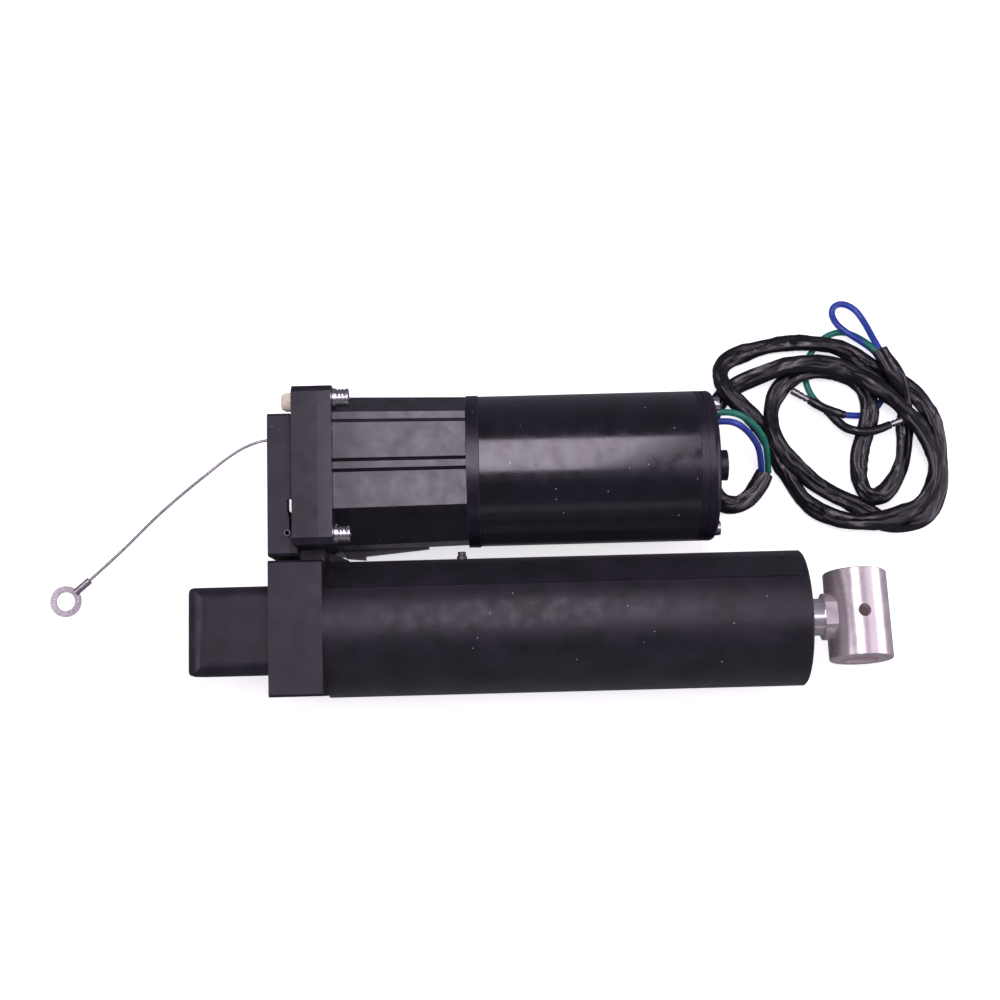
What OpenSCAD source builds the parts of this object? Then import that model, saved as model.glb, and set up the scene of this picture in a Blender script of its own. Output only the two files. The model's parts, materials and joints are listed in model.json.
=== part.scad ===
// Power trim and tilt unit of an outboard motor bracket, lying on its side.
// Millimetres. +X runs from the lower pivot to the rod end, +Y from the ram to the
// electric motor, +Z up. The origin is the centre of the lower pivot bore.

/* [Ram cylinder] */
// Outer diameter of the cylinder tube
tube_od = 68.6; // [64:0.2:72]
// Bore of the cylinder tube
tube_bore = 48; // [44:0.5:52]
// Length of the cylinder tube
tube_len = 239.3; // [225:1:255]
// Width of the flat on the oil gallery along the tube
gallery_w = 14.5; // [10:0.5:18]
// Height of the gallery's flat above the tube
gallery_h = 0.6; // [0.4:0.1:1.5]
// Diameter of the piston rod
rod_d = 18.9; // [16:0.1:20]
// Length of the piston
piston_len = 20; // [16:1:24]
// Length of the free piston
free_piston_len = 11; // [8:0.5:12]
// Length of the gland that closes the tube
gland_len = 22; // [18:1:26]

/* [Rod eye] */
// Outer diameter of the rod eye
eye_od = 32; // [30:0.5:34]
// Length of the rod eye along its bore
eye_len = 44.6; // [40:0.2:48]
// Diameter of the bore through the rod eye
eye_bore = 17.8; // [15:0.1:20]
// Diameter of the lock pin hole across the rod eye
lock_hole_d = 6.5; // [4:0.1:8]
// Angle that the rod eye is turned about the rod
eye_turn = -9; // [-20:1:20]
// Distance from the tube's end to the centre of the rod eye
eye_reach = 28.9; // [27:0.1:34]

/* [Lower mount] */
// Width of the mounting lug along the pivot
lug_w = 44.4; // [40:0.2:48]
// Height of the mounting lug
lug_h = 39; // [36:0.5:42]
// Distance from the pivot to the lug's nose
lug_nose = 18.6; // [17:0.2:22]
// Bore of the pivot bushes
pivot_bore = 16; // [12:0.5:18]
// Wall of the pivot bushes
bush_wall = 2; // [1.5:0.1:3]

/* [Manifold] */
// Distance from the pivot to the manifold block
block_x = 25.1; // [24:0.1:28]
// Length of the manifold block along the ram
block_len = 26.3; // [24:0.1:32]
// Width of the manifold block
block_w = 66.4; // [60:0.2:70]
// Thickness of the base that carries the pump
base_t = 12.6; // [10:0.2:15]
// Width of the pump base and of the reservoir flange
flange_w = 77.6; // [74:0.1:80]
// Distance from the base's outer end to the valve body's outer end
valve_inset = 10.6; // [9.8:0.2:14]
// Height of the valve body's top above the pivot
valve_top = 34; // [30:0.5:38]

/* [Reservoir and pump] */
// Thickness of the reservoir flange
flange_t = 6.8; // [5:0.2:9]
// Length of the reservoir past its flange
reservoir_len = 64.5; // [58:0.5:72]
// Width of the reservoir at its flange
reservoir_w = 75.4; // [72:0.2:80]
// Width of the flat top of the reservoir
panel_w = 42.4; // [36:0.2:48]
// Distance from the flange's ends to the reservoir bolts
bolt_inset_y = 5.4; // [5:0.1:7]
// Distance from the flange's top and bottom to the reservoir bolts
bolt_inset_z = 8.6; // [7.6:0.1:10.6]
// Number of teeth on each pump gear
gear_teeth = 10; // [8:2:12]
// Module of the pump gears
gear_module = 1.5; // [1.3:0.05:1.6]
// Width of the pump gears
gear_w = 12; // [8:0.5:14]

/* [Motor] */
// Outer diameter of the motor can
motor_od = 76.2; // [74:0.2:78]
// Gap between the ram and the widest piece of the row that ends in the motor
row_gap = 4.9; // [4:0.1:7]
// Height of the motor axis above the ram axis
motor_z = 8.3; // [7:0.1:10]
// Length of the motor can
can_len = 108.5; // [100:0.5:120]
// Wall of the motor can
can_wall = 2.2; // [1.5:0.1:2.6]
// Length of the front ring that joins motor and reservoir
ring_len = 6.2; // [5:0.2:8]
// Length of the motor's end cap
cap_len = 9.5; // [8:0.5:12]
// Diameter of the motor shaft
shaft_d = 8; // [7:0.5:9]
// Diameter of the armature
armature_d = 57; // [50:0.5:59]

/* [Wiring] */
// Diameter of the harness sleeve
sleeve_d = 7.2; // [6.4:0.1:7.2]
// Diameter of the motor wires
wire_d = 3.4; // [2.8:0.1:3.4]
// Diameter of the bonding lead
lead_d = 1.4; // [1.1:0.1:1.8]
// Outer diameter of the ring terminal
terminal_od = 16.4; // [15:0.2:18]
// Hole of the ring terminal
terminal_hole = 10; // [8:0.2:11]

/* [Hidden] */

// Facets of round features, and of small and faceted ones
fn_round = 96;
fn_small = 40;
fn_facet = 32;
// Overrun of every cut, gap at a seat, and clearance of a running fit
cut = 1;
seat = 0.1;
run = 0.06;

// Ram
tube_r = tube_od / 2;
bore_r = tube_bore / 2;
rod_r = rod_d / 2;
tube_x = block_x + block_len;
tube_end = tube_x + tube_len;
floor_z = -tube_r;
spigot_len = 6;
gallery_angle = 44;
gallery_start = 1.2;
gallery_end_gap = 3;
gallery_corner = 4;
gallery_passage = 5;
tube_lip = 1.2;
gland_wall = 3;
gland_recess = 1.6;
gland_pin_d = 5;
gland_pin_count = 4;
gland_pin_depth = 5;
o_ring_d = 2.6;
seal_w = 6;
seal_t = 4;
wiper_w = 5;
wiper_lip = 2;
free_piston_x = tube_x + spigot_len + 2 * o_ring_d;
nut_len = 6;
nut_af = 24;
nut_gap = 1;
piston_x = free_piston_x + free_piston_len + nut_len + nut_gap;
piston_ring_w = 6;
shock_holes = 6;
piston_ring_t = 3;
rod_tail_r = 7;
eye_x = tube_end + eye_reach;
eye_collar_wall = 2.4;
eye_collar_r = rod_r + eye_collar_wall;
eye_collar_len = 2.2;
eye_flat = 1.4;
eye_edge = 1;
rod_socket = 4;
bleed_x = 119.3;
bleed_z = 4;
bleed_d = 5.2;
bleed_depth = 4;
bleed_head = 2.2;

// Lower lug and manifold
lug_edge_r = 7;
lug_nose_r = 11;
bush_flange_w = 4;
bush_flange_r = pivot_bore / 2 + bush_flange_w;
bush_flange_t = 1.2;
spot_face_r = 12.8;
block_edge = 1.2;
base_proud = 0.6;
base_x = tube_x - base_t + base_proud;
base_end = base_x + base_t;
flange_top = 2 * motor_z - floor_z;
flange_h = flange_top - floor_z;
motor_y = tube_r + max(flange_w, reservoir_w, motor_od) / 2 + row_gap;
flange_low_y = motor_y - flange_w / 2;
neck_drop = 12;
gusset_len = 9.6;
gusset_t = 12;
spool_r = 5.2;
spool_len = 40;
spool_z = 16;
spool_travel = 2;
spool_waist_share = 0.7;
spool_plug_len = 8;
spool_plug_r = 7;
release_z = -12;
release_r = 4.5;
release_head_r = 6.5;
release_len = 22;
release_head_t = 5;
slot_w = 1.6;
slot_depth = 2;
passage_r = 2.2;
mid_x = block_x + block_len / 2;

// Valve body
valve_overlap = 3.9;
valve_low_y = flange_low_y - valve_overlap;
valve_w = flange_w + valve_overlap - valve_inset;
valve_bottom = -20;
valve_edge = 1.4;
valve_step = 2.9;
gap_w = 4.6;
gap_inset = 18.1;
gap_y = valve_low_y + gap_inset;
gap_len = 9.6;
gap_tip = 5;
gap_lean_x = 6.5;
gap_lean_y = 7;
slit_w = 1;
pin_inset = 11.2;
pin_y = valve_low_y + pin_inset;
pin_d = 3.7;
pin_bore = 1.9;
pin_len = 12;
pin_proud = 0.8;
cover_screw_d = 8;
cover_screw_head = 4.6;
cover_screw_thread = 4.8;
cover_screw_inset_y = 8;
cover_screw_inset_z = 15;
cover_screw_reach = 7;
plug_inset = 4.6;
plug_y = motor_y + flange_w / 2 - plug_inset;
plug_z = 30;
plug_r = 5.5;
plug_len = 7.5;
plug_neck_r = 4;
plug_depth = 7;
plug_rim = 1.4;
plug_dome_r_shares = [0.7, 0.3];
plug_dome_h_shares = [0.45, 0.75];
ferrule_r = 1.6;
ferrule_depth = 4;
ferrule_proud = 1.06;
lead_inset = 5.7;
lead_exit_y = valve_low_y + valve_w - lead_inset;
lead_exit_z = -14;

// Reservoir
res_end = base_end + flange_t + reservoir_len;
res_taper_share = 0.96;
res_top = 35.6;
res_side = 14;
res_wall = 5.5;
res_bore_r = 31;
res_neck_r = 27;
res_web = 13;
rib_w = 3.4;
rib_groove_w = 1.8;
rib_groove_depth = 1.5;
ledge_w = 3.6;
ledge_drop = 0.8;
fin_len = 43;
fin_t = 8;
fin_drop = 10;
bolt_d = 5.6;
bolt_head_d = 9;
bolt_head_h = 6.2;
washer_d = 9.8;
washer_t = 1.6;
hex_key = 4.4;
hex_depth = 3;
bolt_reach = 9;
seal_r = 34.2;
seal_bead = 1.3;
corner_cut = 3.2;

// Pump
pump_plate_t = 5;
pump_end_wall = 8;
pump_body_len = gear_w + pump_end_wall;
pump_w = 42;
pump_h = 34;
pump_corner = 8;
pump_x = base_end + seat;
pump_body_x = pump_x + pump_plate_t;
gear_x = pump_body_x + seat;
gear_gap = 0.15;
gear_backlash_share = 0.9;
gear_pitch_r = gear_teeth * gear_module / 2;
gear_tip_share = 0.9;
gear_flank_shares = [1.7, 1.28, 1, 0.74, 0.4];
gear_root_share = 1.15;
gear_tip_r = gear_pitch_r + gear_module * gear_tip_share;
gear_root_r = gear_pitch_r - gear_module * gear_root_share;
idler_y = motor_y - 2 * gear_pitch_r;
gear_shaft_r = 4;
gear_shaft_tail = 3;
pump_screw_d = 4;
pump_screw_head = 7;
pump_screw_head_h = 4;
pump_screw_y = 16;
pump_screw_z = 11.5;
pump_screw_reach = 8;
filter_t = 2;
filter_hole_gap = 2;
filter_x = pump_body_x + pump_body_len;
valve_d = 9;
valve_len = 14;
coupling_r = 8;
coupling_len = 14;
coupling_gap = 3;
coupling_x = filter_x + coupling_gap;
key_share = 0.8;

// Motor
can_x = res_end + ring_len;
can_end = can_x + can_len;
cap_end = can_end + cap_len;
can_r = motor_od / 2;
ring_proud = 0.5;
register_len = 4;
ring_web = 5;
front_bearing_r = 11;
front_bearing_w = 8;
bearing_lip = 2;
rear_bearing_r = 6;
rear_bearing_w = 7;
rear_shaft_r = 3.5;
boss_r = 7.8;
boss_len = 7.8;
cap_edge_r = 3;
cap_groove = 0.8;
cap_groove_x = 3.2;
magnet_t = 4.6;
magnet_len = 66;
magnet_arc = 110;
magnet_gap = 0.3;
core_len = 56;
core_gap = 22;
core_x = can_x + core_gap;
core_slots = 12;
slot_root_share = 0.6;
slot_w_share = 0.09;
winding_len = 10;
winding_gap = 2;
winding_r_share = 0.86;
commutator_r = 11;
commutator_len = 16;
commutator_gap = 3;
commutator_x = core_x + core_len + winding_len + commutator_gap;
segment_gap = 0.8;
holder_t = 3;
holder_x = commutator_x - holder_t;
brush_w = 8;
brush_h = 6;
brush_len = 11;
spring_r = 2.6;
spring_wire = 0.9;
tie_r = 32;
tie_angles = [180, 25];
tie_d = 4;
tie_head_d = 7.6;
tie_head_h = 3;
tie_depth = 8;

// Wiring
grommet_y = 24.8;
grommet_r = 5.4;
grommet_proud = 2;
wire_pitch = 4.6;
lie_sleeve = floor_z + sleeve_d / 2;
lie_wire = floor_z + wire_d / 2;
lie_lead = floor_z + lead_d / 2;
wire_exit_x = cap_end + grommet_proud;
sleeve_sides = 8;
wire_sides = 8;
boot_d = 4.8;
bullet_d = 3.9;
bullet_bore = 2.3;
bullet_depth = 6;
bullet_len = 9.5;
terminal_t = 1.2;
terminal_x = -118.1;
terminal_drop = 80.5;
terminal_turn = 40;
barrel_start = 7.2;
barrel_end = 16.8;
barrel_r = 1.8;

// Places along a line in X, Y, Z, and shapes laid along an axis
module x_cyl(x0, x1, r, y = 0, z = 0, fn = fn_round) {
    translate([x0, y, z]) rotate([0, 90, 0]) cylinder(r = r, h = x1 - x0, $fn = fn);
}
module x_ring(x0, x1, r_out, r_in, y = 0, z = 0, fn = fn_round) {
    difference() {
        x_cyl(x0, x1, r_out, y, z, fn);
        x_cyl(x0 - cut, x1 + cut, r_in, y, z, fn);
    }
}
module y_cyl(y0, y1, r, x = 0, z = 0, fn = fn_round) {
    translate([x, y0, z]) rotate([-90, 0, 0]) cylinder(r = r, h = y1 - y0, $fn = fn);
}
module z_cyl(z0, z1, r, x = 0, y = 0, fn = fn_round) {
    translate([x, y, z0]) cylinder(r = r, h = z1 - z0, $fn = fn);
}
// A profile drawn in Y and Z, extruded along X
module x_prism(x0, x1) {
    translate([x0, 0, 0]) rotate([90, 0, 90]) linear_extrude(x1 - x0) children();
}
// A profile drawn in X and Z, extruded along Y
module y_prism(y0, y1) {
    translate([0, y1, 0]) rotate([90, 0, 0]) linear_extrude(y1 - y0) children();
}
module box(x0, x1, y0, y1, z0, z1) {
    translate([x0, y0, z0]) cube([x1 - x0, y1 - y0, z1 - z0]);
}
module round_rect(w, h, r) {
    square([w - 2 * r, h], center = true);
    square([w, h - 2 * r], center = true);
    for (sx = [-1, 1], sy = [-1, 1])
        translate([sx * (w / 2 - r), sy * (h / 2 - r)]) circle(r = r, $fn = fn_small);
}
module cut_rect(w, h, c) {
    polygon([
        [-w / 2 + c, -h / 2], [w / 2 - c, -h / 2], [w / 2, -h / 2 + c], [w / 2, h / 2 - c],
        [w / 2 - c, h / 2], [-w / 2 + c, h / 2], [-w / 2, h / 2 - c], [-w / 2, -h / 2 + c]
    ]);
}
module at_motor(dy = 0, dz = 0) {
    translate([0, motor_y + dy, motor_z + dz]) children();
}
module each_bolt() {
    for (sy = [-1, 1], sz = [-1, 1])
        at_motor(sy * (flange_w / 2 - bolt_inset_y), sz * (flange_h / 2 - bolt_inset_z))
            children();
}
module hex_socket(x0, x1, af) {
    translate([x0, 0, 0]) rotate([0, 90, 0]) cylinder(r = af / 2 / cos(30), h = x1 - x0, $fn = 6);
}
module x_torus(x, r, bead, y = 0, z = 0) {
    translate([x, y, z]) rotate([0, 90, 0])
        rotate_extrude($fn = fn_round) translate([r, 0]) circle(r = bead, $fn = fn_small);
}

module lug() {
    intersection() {
        x_prism(-lug_nose, block_x + cut) round_rect(lug_w, lug_h, lug_edge_r);
        y_prism(-lug_w / 2, lug_w / 2)
            translate([(block_x + 2 * lug_nose_r - lug_nose) / 2, 0])
                round_rect(block_x + 2 * lug_nose_r + lug_nose, lug_h, lug_nose_r);
    }
}

module manifold_block() {
    bush_r = pivot_bore / 2 + bush_wall;
    color([0.12, 0.11, 0.14]) difference() {
        union() {
            lug();
            x_prism(block_x, tube_x) cut_rect(block_w, 2 * tube_r, block_edge);
            x_cyl(tube_x - cut, tube_x + spigot_len, bore_r - seat);
            // Pump base, and the neck that joins it to the block
            x_prism(base_x, base_end)
                translate([motor_y, motor_z]) cut_rect(flange_w, flange_h, corner_cut);
            box(base_x, tube_x, block_w / 2 - cut, flange_low_y + cut,
                floor_z + neck_drop / 2, motor_z + neck_drop);
            // Gusset between the block and the reservoir flange
            translate([0, 0, -gusset_t]) linear_extrude(gusset_t) polygon([
                [tube_x - cut, block_w / 2 + 3 * cut / 2], [tube_x + gusset_len, tube_r + cut],
                [tube_x + gusset_len / 6, flange_low_y - cut / 2], [tube_x - cut, flange_low_y]
            ]);
        }
        y_cyl(-lug_w, lug_w, bush_r);
        for (s = [-1, 1])
            y_cyl(s * lug_w / 2 - bush_flange_t, s * lug_w / 2 + bush_flange_t, spot_face_r);
        // Spool bore and release screw bore, both opening on the outer side
        y_cyl(-block_w / 2 - cut, spool_len / 2 + spool_travel + cut, spool_r, mid_x, spool_z);
        y_cyl(-block_w / 2 - cut, -block_w / 2 + spool_plug_len, spool_plug_r, mid_x, spool_z);
        y_cyl(-block_w / 2 - cut, -block_w / 2 + release_len + cut, release_r + run,
            mid_x, release_z);
        y_cyl(-block_w / 2 - cut, -block_w / 2 + release_head_t + 2 * seat,
            release_head_r + run, mid_x, release_z);
        // Oil passage from the spool to the ram
        x_cyl(mid_x, tube_x + spigot_len + cut, passage_r, 0, spool_z, fn_small);
        each_bolt() x_cyl(base_end - bolt_reach, base_end + cut, bolt_d / 2 + run, fn = fn_small);
        cover_screw_places() x_cyl(base_x - cut, base_x + cover_screw_reach + seat,
            cover_screw_thread / 2 + run, fn = fn_small);
        pump_screw_places() x_cyl(base_end - pump_screw_reach, base_end + cut,
            pump_screw_d / 2 + run, fn = fn_small);
        x_cyl(base_x - cut, base_x + plug_depth + seat, plug_neck_r + run, plug_y, plug_z, fn_small);
    }
}

module lower_pivot_bushes() {
    color([0.75, 0.72, 0.62]) for (s = [-1, 1]) mirror([0, s < 0 ? 1 : 0, 0]) difference() {
        union() {
            y_cyl(seat, lug_w / 2, pivot_bore / 2 + bush_wall - run);
            y_cyl(lug_w / 2 - bush_flange_t, lug_w / 2, bush_flange_r);
        }
        y_cyl(-cut, lug_w, pivot_bore / 2);
    }
}

module gallery_outline() {
    top = tube_r + gallery_h;
    rotate(gallery_angle) translate([0, -gallery_w / 2]) square([top, gallery_w]);
}

module cylinder_tube() {
    x0 = tube_x + gallery_start;
    x1 = tube_end - gallery_end_gap;
    color([0.11, 0.1, 0.13]) difference() {
        union() {
            x_cyl(tube_x, tube_end, tube_r);
            // Raised gallery with rounded ends seen along its flat
            intersection() {
                x_prism(x0, x1) gallery_outline();
                rotate([gallery_angle, 0, 0]) translate([(x0 + x1) / 2, 0, 0])
                    rotate([-90, 0, 0]) linear_extrude(tube_od)
                        round_rect(x1 - x0, gallery_w, gallery_corner);
            }
        }
        x_cyl(tube_x - cut, tube_end + cut, bore_r);
        x_cyl(tube_end - gland_len, tube_end + cut, bore_r + gland_wall);
        // Chamfer round the open end
        translate([tube_end, 0, 0]) rotate([0, 90, 0]) rotate_extrude($fn = fn_round)
            polygon([[tube_r - tube_lip, cut / 2], [tube_r + cut, cut / 2],
                [tube_r + cut, -tube_lip - cut / 2]]);
        // Oil passage inside the gallery
        rotate([gallery_angle, 0, 0])
            x_cyl(tube_x - cut, tube_end - gland_len - cut, gallery_passage / 2,
                tube_r - gallery_passage, 0, fn_small);
        y_cyl(tube_r - bleed_depth, tube_r + cut, bleed_d / 2 + run, bleed_x, bleed_z, fn_small);
    }
}

module cylinder_gland() {
    x0 = tube_end - gland_len + seat;
    x1 = tube_end - gland_recess;
    color([0.2, 0.19, 0.22]) difference() {
        x_cyl(x0, x1, bore_r + gland_wall - run);
        x_cyl(x0 - cut, x1 + cut, rod_r + run);
        // Grooves of the O-ring and of the rod seal, and the seat of the wiper
        x_ring((x0 + x1 - o_ring_d) / 2 - seat, (x0 + x1 + o_ring_d) / 2 + seat,
            bore_r + gland_wall + cut, bore_r + gland_wall - o_ring_d);
        x_cyl(x0 + seal_w / 2, x0 + seal_w * 3 / 2, rod_r + seal_t);
        x_cyl(x1 - wiper_w, x1 + cut, rod_r + seal_t);
        for (i = [0 : gland_pin_count - 1]) rotate([45 + i * 360 / gland_pin_count, 0, 0])
            x_cyl(x1 - gland_pin_depth, x1 + cut, gland_pin_d / 2,
                bore_r - gland_wall - gland_pin_d / 2, 0, fn_small);
    }
}

module gland_o_ring() {
    x = tube_end - (gland_len - seat + gland_recess) / 2;
    color([0.05, 0.05, 0.05])
        x_torus(x, bore_r + gland_wall - o_ring_d / 2, o_ring_d / 2 - run);
}

module rod_seal() {
    x0 = tube_end - gland_len + seat + seal_w / 2;
    color([0.1, 0.12, 0.3])
        x_ring(x0 + seat, x0 + seal_w - seat, rod_r + seal_t - run, rod_r + run);
}

module rod_wiper() {
    x0 = tube_end - gland_recess - wiper_w;
    lip_x = tube_end - gland_recess + wiper_lip;
    color([0.06, 0.06, 0.07]) rotate([0, 90, 0])
        rotate_extrude($fn = fn_round) polygon([
            [rod_r + run, x0 + seat], [rod_r + seal_t - run, x0 + seat],
            [rod_r + seal_t - run, lip_x - wiper_lip + seat], [rod_r + seal_t / 2, lip_x],
            [rod_r + run, lip_x]
        ]);
}

module bleed_plug() {
    color([0.16, 0.15, 0.17]) {
        y_cyl(tube_r - bleed_depth + seat, tube_r + bleed_head / 2, bleed_d / 2, bleed_x, bleed_z,
            fn_small);
        y_cyl(tube_r + bleed_head / 2, tube_r + bleed_head * 3 / 2, bleed_d / 2 - bleed_head / 4,
            bleed_x, bleed_z, fn_small);
    }
}

module free_piston() {
    x0 = free_piston_x;
    x1 = x0 + free_piston_len;
    groove = o_ring_d + 2 * seat;
    color([0.62, 0.63, 0.66]) difference() {
        x_cyl(x0, x1, bore_r - run);
        x_cyl(x0 - cut, x0 + free_piston_len / 3, bore_r / 2);
        x_ring((x0 + x1 - groove) / 2, (x0 + x1 + groove) / 2, bore_r + cut, bore_r - o_ring_d);
    }
    color([0.05, 0.05, 0.05])
        x_ring((x0 + x1 - o_ring_d) / 2, (x0 + x1 + o_ring_d) / 2, bore_r - run, bore_r - o_ring_d);
}

module piston() {
    x0 = piston_x;
    x1 = x0 + piston_len;
    color([0.6, 0.61, 0.64]) difference() {
        x_cyl(x0, x1, bore_r - run);
        x_cyl(x0 - cut, x1 + cut, rod_tail_r);
        x_ring((x0 + x1 - piston_ring_w) / 2 - run, (x0 + x1 + piston_ring_w) / 2 + run,
            bore_r + cut, bore_r - piston_ring_t);
        // Shock valve holes
        for (i = [0 : shock_holes - 1]) rotate([i * 360 / shock_holes, 0, 0])
            x_cyl(x0 - cut, x1 + cut, passage_r / 2, (bore_r + rod_r) / 2, 0, fn_small);
    }
}

module piston_seal() {
    xm = piston_x + piston_len / 2;
    color([0.08, 0.08, 0.08])
        x_ring(xm - piston_ring_w / 2, xm + piston_ring_w / 2, bore_r - run / 2,
            bore_r - piston_ring_t + run);
}

module piston_nut() {
    x1 = piston_x;
    color([0.7, 0.7, 0.72]) difference() {
        hex_socket(x1 - nut_len, x1, nut_af);
        x_cyl(x1 - nut_len - cut, x1 + cut, rod_tail_r);
    }
}

module piston_rod() {
    shoulder = piston_x + piston_len;
    color([0.82, 0.8, 0.8]) {
        x_cyl(shoulder, eye_x - eye_od / 2 + rod_socket, rod_r);
        x_cyl(piston_x - nut_len, shoulder, rod_tail_r);
    }
}

module rod_eye() {
    color([0.84, 0.8, 0.79]) translate([eye_x, 0, 0]) rotate([eye_turn, 0, 0]) difference() {
        union() {
            difference() {
                y_cyl(-eye_len / 2, eye_len / 2, eye_od / 2);
                for (s = [-1, 1]) mirror([0, s < 0 ? 1 : 0, 0]) translate([0, eye_len / 2, 0])
                    rotate([-90, 0, 0]) rotate_extrude($fn = fn_round) polygon([
                        [eye_od / 2 - eye_edge, cut / 2], [eye_od / 2 + cut, cut / 2],
                        [eye_od / 2 + cut, -eye_edge - cut / 2]
                    ]);
            }
            // Collar round the rod with a wrench flat on each side
            intersection() {
                x_cyl(-eye_od / 2 - eye_collar_len, 0, eye_collar_r);
                box(-eye_od, 0, -eye_collar_r, eye_collar_r,
                    -eye_collar_r + eye_flat, eye_collar_r - eye_flat);
            }
        }
        x_cyl(-eye_od / 2 - eye_collar_len - cut, -eye_od / 2 + rod_socket, rod_r);
        y_cyl(-eye_len, eye_len, eye_bore / 2);
        z_cyl(-eye_od, eye_od, lock_hole_d / 2, 0, 0, fn_small);
    }
}

module valve_body() {
    x0 = block_x + run;
    x1 = base_x;
    y0 = valve_low_y;
    y1 = valve_low_y + valve_w;
    mid_y = (y0 + y1) / 2;
    mid_z = (valve_top + valve_bottom) / 2;
    color([0.13, 0.12, 0.15]) difference() {
        union() {
            x_prism(x0, x1 - valve_step) translate([mid_y, mid_z])
                cut_rect(valve_w, valve_top - valve_bottom, valve_edge);
            x_prism(x1 - valve_step - cut, x1) translate([mid_y, mid_z])
                cut_rect(valve_w, valve_top - valve_bottom - 2 * valve_edge, valve_edge);
        }
        // Relief between the valve body and the pump base, open from top to bottom and wider below
        translate([0, 0, valve_bottom - cut]) linear_extrude(valve_top - valve_bottom + 2 * cut)
            polygon([
                [x1 + cut, gap_y + gap_tip / 3], [x1 + cut, gap_y + gap_len],
                [x1 - gap_w, gap_y + gap_len], [x1 - gap_w, gap_y + gap_tip],
                [x1 - gap_w + slit_w, gap_y]
            ]);
        polyhedron(points = concat(
            gap_corners(x1, 0, 0, valve_top + cut),
            gap_corners(x1, gap_lean_x, gap_lean_y, valve_bottom - cut)
        ), faces = [
            [3, 2, 1, 0], [4, 5, 6, 7], [0, 1, 5, 4], [1, 2, 6, 5], [2, 3, 7, 6], [3, 0, 4, 7]
        ]);
        box(x1 - gap_w + slit_w, x1 - gap_w + 2 * slit_w, pin_y, gap_y + gap_tip,
            valve_top - gap_len, valve_top + cut);
        z_cyl(valve_top - pin_len, valve_top + cut, pin_d / 2 + run, x1 - gap_w, pin_y, fn_small);
        cover_screw_places() {
            x_cyl(x0 - cut, x0 + cover_screw_head, cover_screw_d / 2 + run, fn = fn_small);
            x_cyl(x0, x1 + cut, cover_screw_thread / 2 + run, fn = fn_small);
        }
        // Seat of the bonding lead's ferrule
        x_cyl(x0 - cut, x0 + ferrule_depth, ferrule_r + run, lead_exit_y, lead_exit_z, fn_small);
    }
}

function gap_corners(x, lean_x, lean_y, z) = [
    [x - gap_w - lean_x, gap_y + gap_tip, z], [x + cut, gap_y + gap_tip, z],
    [x + cut, gap_y + gap_len + lean_y, z], [x - gap_w - lean_x, gap_y + gap_len + lean_y, z]
];

module cover_screw_places() {
    for (sy = [0, 1], sz = [0, 1]) translate([0,
        valve_low_y + cover_screw_inset_y + sy * (valve_w - 2 * cover_screw_inset_y),
        valve_bottom + cover_screw_inset_z
            + sz * (valve_top - valve_bottom - 2 * cover_screw_inset_z)])
        children();
}

module valve_body_screws() {
    x0 = block_x + run;
    head_end = x0 + cover_screw_head;
    color([0.7, 0.7, 0.72]) cover_screw_places() difference() {
        union() {
            x_cyl(x0 + seat, head_end, cover_screw_d / 2, fn = fn_small);
            x_cyl(head_end, base_x + cover_screw_reach, cover_screw_thread / 2, fn = fn_small);
        }
        hex_socket(x0 - cut, x0 + hex_depth, hex_key);
    }
}

module roll_pin() {
    color([0.08, 0.08, 0.09]) difference() {
        z_cyl(valve_top - pin_len + seat, valve_top + pin_proud, pin_d / 2, base_x - gap_w, pin_y,
            fn_small);
        z_cyl(valve_top - pin_len, valve_top + pin_proud + cut, pin_bore / 2, base_x - gap_w,
            pin_y, fn_small);
    }
}

module filler_plug() {
    x0 = base_x;
    color([0.87, 0.82, 0.66]) {
        x_cyl(x0, x0 + plug_depth, plug_neck_r, plug_y, plug_z, fn_small);
        x_cyl(x0 - plug_rim, x0, plug_r, plug_y, plug_z, fn_small);
        // Domed head
        translate([x0 - plug_rim, plug_y, plug_z]) rotate([0, -90, 0])
            rotate_extrude($fn = fn_small) polygon([
                [0, 0], [plug_r - plug_rim / 2, 0],
                [plug_r - plug_rim / 2, plug_len * plug_dome_h_shares[0]],
                [plug_r * plug_dome_r_shares[0], plug_len * plug_dome_h_shares[1]],
                [plug_r * plug_dome_r_shares[1], plug_len - plug_rim],
                [0, plug_len - plug_rim]
            ]);
    }
}

module release_screw() {
    y0 = -block_w / 2;
    color([0.66, 0.66, 0.68]) difference() {
        union() {
            y_cyl(y0 + seat, y0 + release_head_t, release_head_r, mid_x, release_z, fn_small);
            y_cyl(y0 + release_head_t, y0 + release_len, release_r, mid_x, release_z, fn_small);
        }
        box(mid_x - release_head_r, mid_x + release_head_r, y0 - cut, y0 + slot_depth,
            release_z - slot_w / 2, release_z + slot_w / 2);
    }
}

module shuttle_spool() {
    color([0.7, 0.71, 0.74]) difference() {
        y_cyl(-spool_len / 2, spool_len / 2, spool_r - run, mid_x, spool_z);
        for (s = [-1, 1]) difference() {
            y_cyl(s * spool_len / 4 - spool_travel, s * spool_len / 4 + spool_travel, spool_r + cut,
                mid_x, spool_z);
            y_cyl(s * spool_len / 4 - spool_len, s * spool_len / 4 + spool_len,
                spool_r * spool_waist_share, mid_x, spool_z);
        }
    }
}

module spool_plug() {
    y0 = -block_w / 2;
    color([0.5, 0.5, 0.52]) difference() {
        y_cyl(y0, y0 + spool_plug_len, spool_plug_r - run, mid_x, spool_z);
        translate([mid_x, y0 - cut, spool_z]) rotate([-90, 0, 0])
            cylinder(r = hex_key * key_share, h = hex_depth + cut, $fn = 6);
    }
}

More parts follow.
